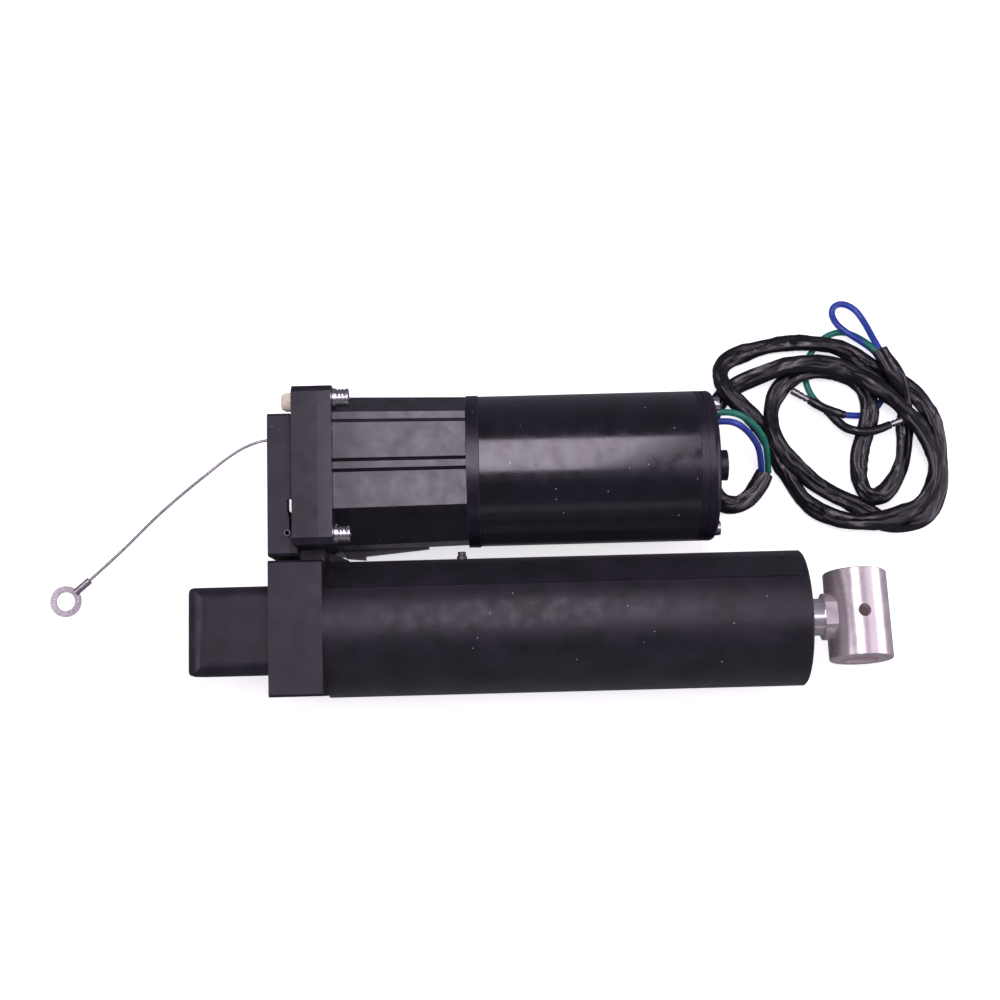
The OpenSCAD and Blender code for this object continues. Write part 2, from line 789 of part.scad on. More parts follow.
// Section of the reservoir, drawn about the motor axis: two grooves leave a rib along the top,
// and a third one a ledge on the outer side
module reservoir_outline(w, top_w, h) {
    rib = rib_w / 2;
    groove = rib_groove_w;
    polygon(concat(
        [[-w / 2, res_side], [-top_w / 2, h]],
        [for (s = [-1, 1], k = [0, 1, 2])
            [s * (rib + (s < 0 ? 2 - k : k) * groove / 2), h - (k == 1 ? rib_groove_depth : 0)]],
        [[top_w / 2, h], [(top_w + groove) / 2, h - rib_groove_depth],
            [top_w / 2 + groove, h - ledge_drop], [top_w / 2 + groove + ledge_w, h - ledge_drop]],
        [[w / 2, res_side], [w / 2, -res_side], [top_w / 2, -h], [-top_w / 2, -h],
            [-w / 2, -res_side]]
    ));
}

module reservoir() {
    flange_end = base_end + flange_t;
    color([0.14, 0.13, 0.16]) difference() {
        union() {
            x_prism(base_end, flange_end)
                translate([motor_y, motor_z]) cut_rect(flange_w, flange_h, corner_cut);
            at_motor() translate([base_end + cut, 0, 0]) rotate([90, 0, 90])
                linear_extrude(reservoir_len + flange_t - cut, scale = res_taper_share)
                    reservoir_outline(reservoir_w, panel_w, res_top);
            // Fin and foot beside the ram
            translate([0, 0, -fin_drop - fin_t]) linear_extrude(fin_t) polygon([
                [flange_end, flange_low_y - 2 * cut], [flange_end + fin_drop, flange_low_y - 3 * cut],
                [flange_end + fin_drop, flange_low_y - cut], [flange_end + fin_len, flange_low_y + 2 * cut],
                [flange_end + fin_len, flange_low_y + fin_drop], [flange_end, flange_low_y + fin_drop]
            ]);
        }
        at_motor() x_cyl(base_end - cut, res_end - res_web, res_bore_r);
        at_motor() x_cyl(base_end, res_end + cut, res_neck_r);
        at_motor() x_ring(base_end - cut, base_end + 2 * seal_bead, seal_r + seal_bead + run,
            seal_r - seal_bead - run);
        each_bolt() x_cyl(base_end - cut, flange_end + cut, bolt_d / 2 + run, fn = fn_small);
        for (a = tie_angles) at_motor(tie_r * cos(a), tie_r * sin(a))
            x_cyl(res_end - tie_depth, res_end + cut, tie_d / 2 + run, fn = fn_small);
    }
}

module reservoir_seal() {
    color([0.06, 0.06, 0.06]) at_motor() x_torus(base_end + seal_bead, seal_r, seal_bead);
}

module reservoir_bolts() {
    x0 = base_end + flange_t + washer_t;
    color([0.78, 0.78, 0.8]) each_bolt() difference() {
        union() {
            x_cyl(x0, x0 + bolt_head_h, bolt_head_d / 2, fn = fn_small);
            x_cyl(base_end - bolt_reach + seat, x0, bolt_d / 2, fn = fn_small);
        }
        hex_socket(x0 + bolt_head_h - hex_depth, x0 + bolt_head_h + cut, hex_key);
    }
}

module spring_washers() {
    x0 = base_end + flange_t;
    color([0.7, 0.7, 0.72]) each_bolt() difference() {
        x_ring(x0, x0 + washer_t, washer_d / 2, bolt_d / 2 + run, fn = fn_small);
        // Split of the spring washer
        rotate([30, 0, 0]) box(x0 - cut, x0 + washer_t + cut, 0, washer_d, -slit_w / 2, slit_w / 2);
    }
}

module gear_shape(phase) {
    pitch = 360 / gear_teeth;
    half = pitch / 4 * gear_backlash_share;
    radii = [gear_root_r, gear_root_r, gear_pitch_r, (gear_pitch_r + gear_tip_r) / 2, gear_tip_r];
    polygon([for (i = [0 : gear_teeth - 1]) let (a = phase + i * pitch) each concat(
        [for (k = [0 : 4]) gear_point(radii[k], a - half * gear_flank_shares[k])],
        [for (k = [4 : -1 : 0]) gear_point(radii[k], a + half * gear_flank_shares[k])]
    )]);
}
function gear_point(r, a) = [r * cos(a), r * sin(a)];

module pump_outline() {
    translate([motor_y - gear_pitch_r, motor_z]) round_rect(pump_w, pump_h, pump_corner);
}

module pump_screw_places() {
    for (sy = [-1, 1], sz = [-1, 1])
        translate([0, motor_y - gear_pitch_r + sy * pump_screw_y, motor_z + sz * pump_screw_z])
            children();
}

module pump_plate() {
    color([0.6, 0.6, 0.62]) difference() {
        x_prism(pump_x, pump_body_x) pump_outline();
        for (y = [motor_y, idler_y])
            x_cyl(pump_x + gear_shaft_tail / 2, pump_body_x + cut, gear_shaft_r + run, y, motor_z,
                fn_small);
        pump_screw_places()
            x_cyl(pump_x - cut, pump_body_x + cut, pump_screw_d / 2 + run, fn = fn_small);
    }
}

module pump_body() {
    x0 = pump_body_x;
    x1 = x0 + pump_body_len;
    color([0.5, 0.5, 0.52]) difference() {
        x_prism(x0, x1) pump_outline();
        for (y = [motor_y, idler_y]) {
            x_cyl(x0 - cut, gear_x + gear_w + seat, gear_tip_r + gear_gap, y, motor_z);
            x_cyl(x0, x1 + cut, gear_shaft_r + run, y, motor_z, fn_small);
        }
        pump_screw_places() x_cyl(x0 - cut, x1 + cut, pump_screw_d / 2 + run, fn = fn_small);
        relief_places() x_cyl(x1 - valve_len / 2, x1 + cut, valve_d / 2 + run, fn = fn_small);
    }
}

module relief_places() {
    for (s = [-1, 1])
        translate([0, motor_y - gear_pitch_r + s * gear_pitch_r / 2, motor_z + s * pump_screw_z])
            children();
}

module relief_valves() {
    x1 = pump_body_x + pump_body_len;
    color([0.72, 0.66, 0.4]) relief_places() {
        x_cyl(x1 - valve_len / 2 + seat, x1, valve_d / 2, fn = fn_small);
        hex_socket(x1, x1 + valve_len / 2, valve_d * key_share);
    }
}

module pump_screws() {
    x1 = pump_body_x + pump_body_len;
    color([0.68, 0.68, 0.7]) pump_screw_places() {
        x_cyl(base_end - pump_screw_reach + seat, x1, pump_screw_d / 2, fn = fn_small);
        difference() {
            x_cyl(x1, x1 + pump_screw_head_h, pump_screw_head / 2, fn = fn_small);
            hex_socket(x1 + pump_screw_head_h / 2, x1 + pump_screw_head_h + cut,
                pump_screw_d * key_share);
        }
    }
}

module oil_filter() {
    x1 = filter_x + filter_t;
    color([0.75, 0.72, 0.55]) difference() {
        x_prism(filter_x, x1) pump_outline();
        at_motor() x_cyl(filter_x - cut, x1 + cut, gear_shaft_r + filter_hole_gap);
        relief_places() x_cyl(filter_x - cut, x1 + cut, valve_d / 2 + seat, fn = fn_small);
        pump_screw_places() x_cyl(filter_x - cut, x1 + cut, pump_screw_head / 2 + seat, fn = fn_small);
    }
}

module drive_gear() {
    color([0.66, 0.66, 0.7]) at_motor() {
        translate([gear_x, 0, 0]) rotate([90, 0, 90]) linear_extrude(gear_w) gear_shape(0);
        x_cyl(pump_body_x - gear_shaft_tail, coupling_x + coupling_len / 2, gear_shaft_r, fn = fn_small);
    }
}

module idler_gear() {
    color([0.62, 0.62, 0.66]) translate([0, idler_y, motor_z]) {
        translate([gear_x, 0, 0]) rotate([90, 0, 90])
            linear_extrude(gear_w) gear_shape(180 / gear_teeth);
        x_cyl(pump_body_x - gear_shaft_tail, pump_body_x + pump_body_len - seat, gear_shaft_r,
            fn = fn_small);
    }
}

module drive_coupling() {
    color([0.4, 0.4, 0.43]) at_motor()
        x_ring(coupling_x, coupling_x + coupling_len, coupling_r, shaft_d / 2, fn = fn_small);
}

module motor_front_ring() {
    color([0.05, 0.05, 0.06]) at_motor() difference() {
        union() {
            x_cyl(res_end, can_x, can_r + ring_proud);
            x_cyl(can_x - cut, can_x + register_len, can_r - can_wall - seat);
        }
        x_cyl(res_end - cut, res_end + front_bearing_w - ring_web + seat,
            front_bearing_r - bearing_lip);
        x_cyl(res_end + ring_len - ring_web / 2, can_x + register_len + cut, front_bearing_r + run);
        x_cyl(res_end - cut, can_x + cut, shaft_d / 2 + ring_proud);
        for (a = tie_angles) translate([0, tie_r * cos(a), tie_r * sin(a)])
            x_cyl(res_end - cut, can_x + register_len + cut, tie_d / 2 + run, fn = fn_small);
    }
}

module motor_can() {
    color([0.03, 0.03, 0.035]) at_motor() difference() {
        x_cyl(can_x, can_end, can_r);
        x_cyl(can_x - cut, can_end + cut, can_r - can_wall);
    }
}

module motor_magnets() {
    r_out = can_r - can_wall - seat;
    x0 = core_x - (magnet_len - core_len) / 2;
    color([0.2, 0.2, 0.22]) at_motor() for (m = [0, 180]) rotate([m, 0, 0])
        translate([x0, 0, 0]) rotate([90, 0, 90]) rotate([0, 0, 90 - magnet_arc / 2])
            rotate_extrude(angle = magnet_arc, $fn = fn_round)
                translate([r_out - magnet_t, 0]) square([magnet_t, magnet_len]);
}

module motor_end_cap() {
    color([0.04, 0.04, 0.05]) at_motor() difference() {
        union() {
            translate([can_end, 0, 0]) rotate([0, 90, 0]) rotate_extrude($fn = fn_round) {
                square([can_r - cap_edge_r, cap_len]);
                square([can_r, cap_len - cap_edge_r]);
                translate([can_r - cap_edge_r, cap_len - cap_edge_r])
                    circle(r = cap_edge_r, $fn = fn_small);
            }
            x_cyl(can_end - register_len, can_end + cut, can_r - can_wall - seat);
            x_cyl(can_end, cap_end + boss_len, boss_r);
        }
        // Hollow inside, shallow groove outside, bearing seat, wire outlet and tie bolts
        x_cyl(can_end - register_len - cut, can_end, can_r - can_wall - 4 * cut);
        x_ring(can_end - cut, cap_end - cap_edge_r, can_r - can_wall - 4 * cut, boss_r);
        x_ring(can_end + cap_groove_x, can_end + cap_groove_x + cap_groove, can_r + cut,
            can_r - cap_groove);
        x_cyl(can_end - register_len - cut, cap_end + boss_len - cap_edge_r, rear_bearing_r + run);
        translate([0, grommet_y, 0]) x_cyl(can_end, cap_end + cut, grommet_r - cut, fn = fn_small);
        for (a = tie_angles) translate([0, tie_r * cos(a), tie_r * sin(a)])
            x_cyl(can_end - register_len - cut, cap_end + cut, tie_d / 2 + run, fn = fn_small);
    }
}

module motor_bearings() {
    front_x = res_end + ring_len - ring_web / 2 + seat;
    rear_x = cap_end + boss_len - cap_edge_r - rear_bearing_w - seat;
    color([0.72, 0.72, 0.74]) at_motor() {
        x_ring(front_x, can_x + register_len, front_bearing_r, shaft_d / 2 + run);
        x_ring(rear_x, rear_x + rear_bearing_w, rear_bearing_r, rear_shaft_r + run);
    }
}

module through_bolts() {
    color([0.3, 0.3, 0.32]) for (a = tie_angles) at_motor(tie_r * cos(a), tie_r * sin(a)) {
        x_cyl(res_end - tie_depth + seat, cap_end, tie_d / 2, fn = fn_small);
        difference() {
            x_cyl(cap_end, cap_end + tie_head_h, tie_head_d / 2, fn = fn_small);
            box(cap_end + tie_head_h / 2, cap_end + tie_head_h + cut, -tie_head_d, tie_head_d,
                -slot_w / 2, slot_w / 2);
        }
    }
}

module brush_holder() {
    r_out = can_r - can_wall - magnet_gap;
    color([0.45, 0.3, 0.18]) at_motor() difference() {
        union() {
            x_ring(holder_x, holder_x + holder_t, r_out, commutator_r + 2 * cut);
            for (s = [-1, 1]) box(holder_x + holder_t - seat, holder_x + holder_t + brush_w + holder_t,
                -brush_h, brush_h, s > 0 ? commutator_r + 2 * cut : -r_out + magnet_t,
                s > 0 ? r_out - magnet_t : -commutator_r - 2 * cut);
        }
        box(holder_x + holder_t, holder_x + holder_t + brush_w + 2 * seat,
            -brush_h / 2 - seat, brush_h / 2 + seat, -r_out + magnet_t + holder_t / 2,
            r_out - magnet_t - holder_t / 2);
        for (a = tie_angles) translate([0, tie_r * cos(a), tie_r * sin(a)])
            x_cyl(holder_x - cut, holder_x + holder_t + cut, tie_d / 2 + run, fn = fn_small);
    }
}

module brushes() {
    x0 = holder_x + holder_t + seat;
    color([0.18, 0.18, 0.18]) at_motor() for (s = [0, 1]) mirror([0, 0, s])
        box(x0, x0 + brush_w, -brush_h / 2, brush_h / 2, commutator_r + magnet_gap,
            commutator_r + magnet_gap + brush_len);
}

module brush_springs() {
    x0 = holder_x + holder_t + seat + brush_w / 2;
    z0 = commutator_r + magnet_gap + brush_len;
    z1 = can_r - can_wall - magnet_gap - magnet_t - holder_t / 2;
    color([0.7, 0.68, 0.6]) at_motor() for (s = [0, 1]) mirror([0, 0, s]) difference() {
        z_cyl(z0, z1, spring_r, x0, 0, fn_small);
        z_cyl(z0 - cut, z1 + cut, spring_r - spring_wire, x0, 0, fn_small);
    }
}

module armature_shaft() {
    rear_x = cap_end + boss_len - cap_edge_r - rear_bearing_w - seat;
    color([0.7, 0.7, 0.72]) at_motor() {
        x_cyl(coupling_x + coupling_len / 2, rear_x - seat, shaft_d / 2, fn = fn_small);
        x_cyl(rear_x - seat, rear_x + rear_bearing_w, rear_shaft_r, fn = fn_small);
    }
}

module armature_core() {
    r = armature_d / 2;
    color([0.35, 0.35, 0.38]) at_motor() difference() {
        x_cyl(core_x, core_x + core_len, r);
        x_cyl(core_x - cut, core_x + core_len + cut, shaft_d / 2);
        for (i = [0 : core_slots - 1]) rotate([i * 360 / core_slots, 0, 0])
            box(core_x - cut, core_x + core_len + cut, r * slot_root_share, r + cut,
                -r * slot_w_share, r * slot_w_share);
    }
}

module armature_windings() {
    r = armature_d / 2 * winding_r_share;
    color([0.72, 0.36, 0.16]) at_motor()
        for (x = [core_x - winding_len, core_x + core_len])
            x_ring(x, x + winding_len, r, shaft_d / 2 + winding_gap);
}

module commutator() {
    color([0.8, 0.5, 0.28]) at_motor() difference() {
        x_ring(commutator_x, commutator_x + commutator_len, commutator_r, shaft_d / 2, fn = fn_round);
        for (i = [0 : core_slots - 1]) rotate([(i + 0.5) * 360 / core_slots, 0, 0])
            box(commutator_x + cut, commutator_x + commutator_len + cut, commutator_r - cut,
                commutator_r + cut, -segment_gap / 2, segment_gap / 2);
    }
}

module wire_grommet() {
    color([0.05, 0.05, 0.05]) at_motor(grommet_y) {
        x_cyl(cap_end, cap_end + grommet_proud, grommet_r, fn = fn_small);
        x_cyl(cap_end - cap_edge_r, cap_end, grommet_r - cut - run, fn = fn_small);
    }
}

// A tube swept along the points of a route
function pick(p, i) = p[max(0, min(len(p) - 1, i))];
function unit(v) = v / norm(v);
function heading(p, i) = unit(pick(p, i + 1) - pick(p, i - 1));
function side_of(t) = unit(cross(abs(t[2]) > 0.9 ? [1, 0, 0] : [0, 0, 1], t));

module tube_along(p, d, sides) {
    n = len(p);
    corners = [for (i = [0 : n - 1]) let (t = heading(p, i), u = side_of(t), v = cross(t, u))
        for (k = [0 : sides - 1]) let (a = 360 * k / sides)
            p[i] + d / 2 * (cos(a) * u + sin(a) * v)];
    skin = [for (i = [0 : n - 2], k = [0 : sides - 1]) let (m = (k + 1) % sides) each [
        [i * sides + k, (i + 1) * sides + m, i * sides + m],
        [i * sides + k, (i + 1) * sides + k, (i + 1) * sides + m]
    ]];
    ends = [
        [for (k = [0 : sides - 1]) k],
        [for (k = [sides - 1 : -1 : 0]) (n - 1) * sides + k]
    ];
    polyhedron(points = corners, faces = concat(ends, skin), convexity = 10);
}

// Routes of the wiring, chosen by hand. X and Y run from the wire exit at the end cap, along the
// motor's axis. The third number is the height above where the cord lies, in cord diameters.
function place(p, lie, rise) = [for (q = p) [wire_exit_x + q[0], motor_y + q[1], lie + q[2] * rise]];
sleeve_shares = [
    [32, 1, 0], [29.4, -11.6, 0], [18.4, -17.9, 0], [6.5, -13.6, 0],
    [2.1, -3, 0], [1.7, 14, 0], [3.9, 32, 0], [14, 46.5, 0],
    [31.5, 55, 0], [48.5, 60.8, 0.29], [62.5, 63.2, 0.61], [76.5, 61.2, 0.49],
    [91.5, 51.8, 0.75], [106.5, 38, 1.1], [117.9, 22.5, 0.47], [122.1, 6, 0],
    [117.1, -11, 0], [104, -22.6, 0.61], [87.5, -27.4, 1.1], [70.5, -27, 0.72],
    [53.5, -18.6, 0.08], [42.7, -2.6, 0], [34.5, 14.5, 0], [23, 32, 0.58],
    [11.9, 46.2, 1.13], [8.5, 56.4, 0.67], [12.9, 66, 0.19], [22.5, 71.4, 0],
    [36.5, 73.4, 0], [50, 75.4, 0.25], [62.5, 76, 0.75], [76.5, 72.8, 1.08],
    [91.5, 62.6, 1.08], [106.8, 49, 1.1], [120, 35, 0.42], [128.5, 19, 0],
    [130.9, 2, 0], [125.1, -15.5, 0], [112.5, -28.6, 0], [97, -32.4, 0],
    [81.5, -24, 0], [66, -14.6, 0], [51.9, -1.2, 0], [43, 15, 0],
    [39.3, 31, 0], [45.1, 46.2, 0.21], [59.9, 54.4, 0.54], [74.9, 52.2, 0.22],
    [85.5, 41.4, 0.56], [85.5, 26, 0.81], [79.9, 13, 0.39], [78.2, 0, 0],
    [82.7, -11, 0], [93.7, -15.5, 0], [104.7, -11, 0], [109.1, 0, 0],
    [108.7, 14, 0], [107.1, 28, 0], [105.5, 48, 0], [96.5, 66, 0]
];
green_lead_shares = [
    [0, 27.1, 1], [10.5, 27, 0.99], [20.5, 23.6, 0.76], [29.9, 15.4, 0.4],
    [33.8, 1, 0]
];
blue_lead_shares = [
    [0, 22.5, 1], [9.5, 22.4, 0.98], [18.5, 19.2, 0.74], [26.8, 12, 0.36],
    [30.2, 1.2, 0]
];
green_tail_shares = [
    [94.9, 65.1, 0.56], [89.5, 71, 0.18], [81, 75.4, 0], [70.5, 76, 0],
    [63.1, 69.6, 0], [58.9, 58, 0], [57.9, 46, 0], [63.3, 35.4, 0],
    [73, 28, 0]
];
blue_tail_shares = [
    [98.1, 66.9, 0.56], [97.7, 76, 0.18], [93.9, 84.4, 0], [87.1, 90.2, 0],
    [79.3, 91.9, 0], [72.7, 89.1, 0], [71.5, 82.2, 0.35], [76.9, 77.2, 1.12],
    [84.3, 71.4, 1.06], [88.5, 62, 0.24], [89.1, 52, 0], [87.9, 42, 0],
    [84.1, 35, 0], [76.5, 31.6, 0.35]
];
green_boot_shares = [
    [73, 28, 0.21], [81.5, 23.6, 0.21], [91, 22.8, 0.21]
];
blue_boot_shares = [
    [76.5, 31.6, 0.35], [68.3, 35.2, 1.35], [60, 39.2, 1.29]
];
// The bonding lead, with X from the manifold block and heights in shares of its exit's height
bond_shares = [
    [-1, 0, 1], [-11.1, -0.2, 0.95], [-25.1, -4.1, 0.52], [-43.1, -14.5, 0.06],
    [-67.1, -33.9, 0], [-88.1, -54, 0], [-105.2, -69.7, 0.06]
];
sleeve_route = place(sleeve_shares, lie_sleeve, sleeve_d);
green_lead_route = place(green_lead_shares, lie_sleeve, motor_z - lie_sleeve);
blue_lead_route = place(blue_lead_shares, lie_sleeve, motor_z - lie_sleeve);
green_tail_route = place(green_tail_shares, lie_wire, wire_d);
blue_tail_route = place(blue_tail_shares, lie_wire, wire_d);
green_boot_route = place(green_boot_shares, lie_wire, wire_d);
blue_boot_route = place(blue_boot_shares, lie_wire, wire_d);
bond_route = [for (q = bond_shares)
    [block_x + q[0], lead_exit_y + q[1], lie_lead + q[2] * (lead_exit_z - lie_lead)]];

module harness_sleeve() {
    color([0.05, 0.05, 0.055]) tube_along(sleeve_route, sleeve_d, sleeve_sides);
}

module green_motor_lead() {
    color([0.05, 0.5, 0.38]) tube_along(green_lead_route, wire_d, wire_sides);
}

module blue_motor_lead() {
    color([0.1, 0.25, 0.75]) tube_along(blue_lead_route, wire_d, wire_sides);
}

module green_tail() {
    color([0.05, 0.5, 0.38]) tube_along(green_tail_route, wire_d, wire_sides);
}

module blue_tail() {
    color([0.1, 0.25, 0.75]) tube_along(blue_tail_route, wire_d, wire_sides);
}

module green_boot() {
    color([0.04, 0.4, 0.32]) tube_along(green_boot_route, boot_d, sleeve_sides);
}

module blue_boot() {
    color([0.08, 0.2, 0.6]) tube_along(blue_boot_route, boot_d, sleeve_sides);
}

// Female bullet that goes on from the end of a boot, level with the surface
module bullet(p) {
    last = p[len(p) - 1];
    t = last - p[len(p) - 2];
    color([0.75, 0.72, 0.6]) translate(last) rotate([0, 0, atan2(t[1], t[0])]) difference() {
        x_cyl(0, bullet_len, bullet_d / 2, fn = fn_small);
        x_cyl(bullet_len - bullet_depth, bullet_len + cut, bullet_bore / 2, fn = fn_small);
    }
}

module green_bullet() {
    bullet(green_boot_route);
}

module blue_bullet() {
    bullet(blue_boot_route);
}

module lead_ferrule() {
    x0 = block_x + run;
    color([0.75, 0.74, 0.7])
        x_cyl(x0 - ferrule_proud, x0 + ferrule_depth - seat, ferrule_r, lead_exit_y, lead_exit_z,
            fn_small);
}

module bonding_lead() {
    color([0.08, 0.08, 0.08]) tube_along(bond_route, lead_d, wire_sides);
}

module ring_terminal() {
    color([0.8, 0.66, 0.36]) translate([block_x + terminal_x, lead_exit_y - terminal_drop, floor_z])
        rotate([0, 0, terminal_turn]) difference() {
            union() {
                z_cyl(0, terminal_t, terminal_od / 2);
                box(0, barrel_start + cut, -barrel_r, barrel_r, 0, terminal_t);
                x_cyl(barrel_start, barrel_end, barrel_r, 0, barrel_r, fn_small);
            }
            z_cyl(-cut, terminal_t + cut, terminal_hole / 2);
        }
}

manifold_block();
lower_pivot_bushes();
cylinder_tube();
cylinder_gland();
gland_o_ring();
rod_seal();
rod_wiper();
bleed_plug();
free_piston();
piston();
piston_seal();
piston_nut();
piston_rod();
rod_eye();
valve_body();
valve_body_screws();
roll_pin();
filler_plug();
release_screw();
shuttle_spool();
spool_plug();
reservoir();
reservoir_seal();
reservoir_bolts();
spring_washers();
pump_plate();
pump_body();
pump_screws();
oil_filter();
relief_valves();
drive_gear();
idler_gear();
drive_coupling();
motor_front_ring();
motor_can();
motor_magnets();
motor_end_cap();
motor_bearings();
through_bolts();
brush_holder();
brushes();
brush_springs();
armature_shaft();
armature_core();
armature_windings();
commutator();
wire_grommet();
harness_sleeve();
green_motor_lead();
blue_motor_lead();
green_tail();
blue_tail();
green_boot();
blue_boot();
green_bullet();
blue_bullet();
lead_ferrule();
bonding_lead();
ring_terminal();
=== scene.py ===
"""Power trim and tilt unit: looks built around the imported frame, on a pale studio floor."""

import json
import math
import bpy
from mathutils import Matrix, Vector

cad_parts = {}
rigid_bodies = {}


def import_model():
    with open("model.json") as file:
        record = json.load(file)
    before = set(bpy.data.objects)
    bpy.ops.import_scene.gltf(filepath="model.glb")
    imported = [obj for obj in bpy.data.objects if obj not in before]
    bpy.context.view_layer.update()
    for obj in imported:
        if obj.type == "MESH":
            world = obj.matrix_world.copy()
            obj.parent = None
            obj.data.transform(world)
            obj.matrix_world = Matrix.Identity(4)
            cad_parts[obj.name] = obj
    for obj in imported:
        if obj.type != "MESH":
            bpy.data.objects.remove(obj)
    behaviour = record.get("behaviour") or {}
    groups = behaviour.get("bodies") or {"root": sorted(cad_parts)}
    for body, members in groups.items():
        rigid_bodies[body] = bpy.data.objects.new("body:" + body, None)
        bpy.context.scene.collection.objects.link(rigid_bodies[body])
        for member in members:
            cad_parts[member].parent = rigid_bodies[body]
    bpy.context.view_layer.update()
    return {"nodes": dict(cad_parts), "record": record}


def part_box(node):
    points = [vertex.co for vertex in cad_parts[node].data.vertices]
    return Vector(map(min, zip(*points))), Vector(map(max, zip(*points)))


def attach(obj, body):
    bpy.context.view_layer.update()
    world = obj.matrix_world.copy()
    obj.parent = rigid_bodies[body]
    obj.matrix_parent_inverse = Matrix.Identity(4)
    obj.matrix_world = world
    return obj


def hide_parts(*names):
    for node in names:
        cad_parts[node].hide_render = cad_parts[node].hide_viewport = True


bl_info = {
    "name": "Power Trim and Tilt Unit",
    "version": (1, 0, 0),
    "blender": (4, 5, 0),
    "location": "View3D > Sidebar > Trim Unit",
    "description": "Dresses the packed trim and tilt unit with its finishes, fasteners and wiring",
    "category": "Object",
}

import bmesh
import bpy
from mathutils import Matrix, Vector, noise

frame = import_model()
MM = 0.001
NODES = frame["nodes"]
BODY_OF = {
    node: body
    for body, nodes in frame["record"]["behaviour"]["bodies"].items()
    for node in nodes
}

# Places in the frame, in millimetres
FLOOR_Z = -34.3
FLOOR_GAP = 0.02
MOTOR_Y = 78.0
MOTOR_Z = 8.3
WIRE_EXIT_X = 249.5
BLOCK_X = 25.1
LEAD_EXIT_Z = -14.0

# The lug's nose: half its width, the length of its cut corners in millimetres, and the share of
# that length at which the cut bends
LUG_HALF = 22.2
LUG_CORNER = 4.0
LUG_SHARE = 0.3

# Bolt heads: radius, places of the grooves from the head's face, and their depth, in millimetres
HEAD_R = 4.5
HEAD_GROOVES = (2.2, 3.9, 5.5)
GROOVE_DEPTH = 0.55

# Vertices closer than this, in millimetres, are merged, and edges flatter than this, in degrees,
# are dissolved
WELD = 0.002
FLAT_EDGE = 0.4

# Edges sharper than this, in degrees, are rounded, in this many steps
SHARP_EDGE = 28
EDGE_STEPS = 2

# Wiring: sides of each cord and strands of the bonding lead, then lengths in millimetres
CORD_SIDES = 20
SLEEVE_SIDES = 32
BONDING_SIDES = 24
TURNED_SIDES = 32
STRANDS = 6
SLEEVE_STEP = 0.9
SLEEVE_MOUTH = 5.0
BOOT_STEP = 0.8
BOOT_RADIUS = 2.4
BOOT_MOUTH = 2.0

# Camera, in millimetres and degrees
TARGET = (139.4, 64.2, 0.0)
CAMERA_DISTANCE = 770.0
CAMERA_TILT = 7.0
CAMERA_ROLL = -1.5
CAMERA_LENS = 53.98
SENSOR = 36.0

# Floor, in metres, with its glow and the distances between which that fades
FLOOR_SIZE = 6.0
FLOOR_GLOW = 0.66
GLOW_NEAR, GLOW_FAR = 0.34, 0.75
MIDDLE = (0.14, 0.06, 0.0)

# Lights: name, place, aim and size in metres, power in watts, colour
MAUVE = (0.96, 0.84, 1.0)
SOFTBOXES = (
    ("key_softbox", (0.16, 0.31, 0.86), (0.13, 0.08, 0.04), (0.27, 0.76), 4.0, MAUVE),
    ("top_softbox", (0.14, 0.0, 1.25), MIDDLE, (1.1, 0.9), 0.5, MAUVE),
    ("rod_softbox", (0.62, 0.06, 0.9), (0.37, 0.0, 0.0), (0.2, 0.5), 0.8, MAUVE),
    ("left_softbox", (-0.85, 0.05, 0.75), MIDDLE, (0.6, 0.9), 4.5, MAUVE),
    ("right_softbox", (1.1, 0.05, 0.75), MIDDLE, (0.8, 0.9), 2.0, MAUVE),
    ("low_softbox", (1.0, 0.0, 0.2), (0.36, 0.0, 0.0), (0.7, 0.35), 2.0, MAUVE),
    ("front_softbox", (0.14, -1.3, 0.6), MIDDLE, (1.2, 0.3), 0.3, (1, 1, 1)),
)
WORLD_COLOUR = (0.86, 0.8, 1.0, 1)
WORLD_STRENGTH = 0.14

# Range of the noise that the finishes are spread over
NOISE_LOW, NOISE_HIGH = 0.3, 0.7

# Chips in the paint: one to each cell of this size in millimetres, its radius as a share of it
CHIP_COLOUR = (0.42, 0.40, 0.43, 1)
CHIP_CELL = 10
CHIP_RADIUS = 0.036


class TRIMUNIT_PG_sizes(bpy.types.PropertyGroup):
    """Sizes of the dressed pieces."""

    casting_edge: bpy.props.FloatProperty(
        name="Casting edge", description="Width of the rounded edges of the castings",
        default=0.6 * MM, min=0.0, unit="LENGTH")
    machined_edge: bpy.props.FloatProperty(
        name="Machined edge", description="Width of the broken edges of turned pieces",
        default=0.25 * MM, min=0.0, unit="LENGTH")
    sleeve_diameter: bpy.props.FloatProperty(
        name="Sleeve diameter", description="Outer diameter of the harness sleeve",
        default=7.2 * MM, unit="LENGTH")
    wire_diameter: bpy.props.FloatProperty(
        name="Wire diameter", description="Outer diameter of the motor wires",
        default=3.4 * MM, unit="LENGTH")
    lead_diameter: bpy.props.FloatProperty(
        name="Lead diameter", description="Diameter of the bonding lead",
        default=1.4 * MM, unit="LENGTH")


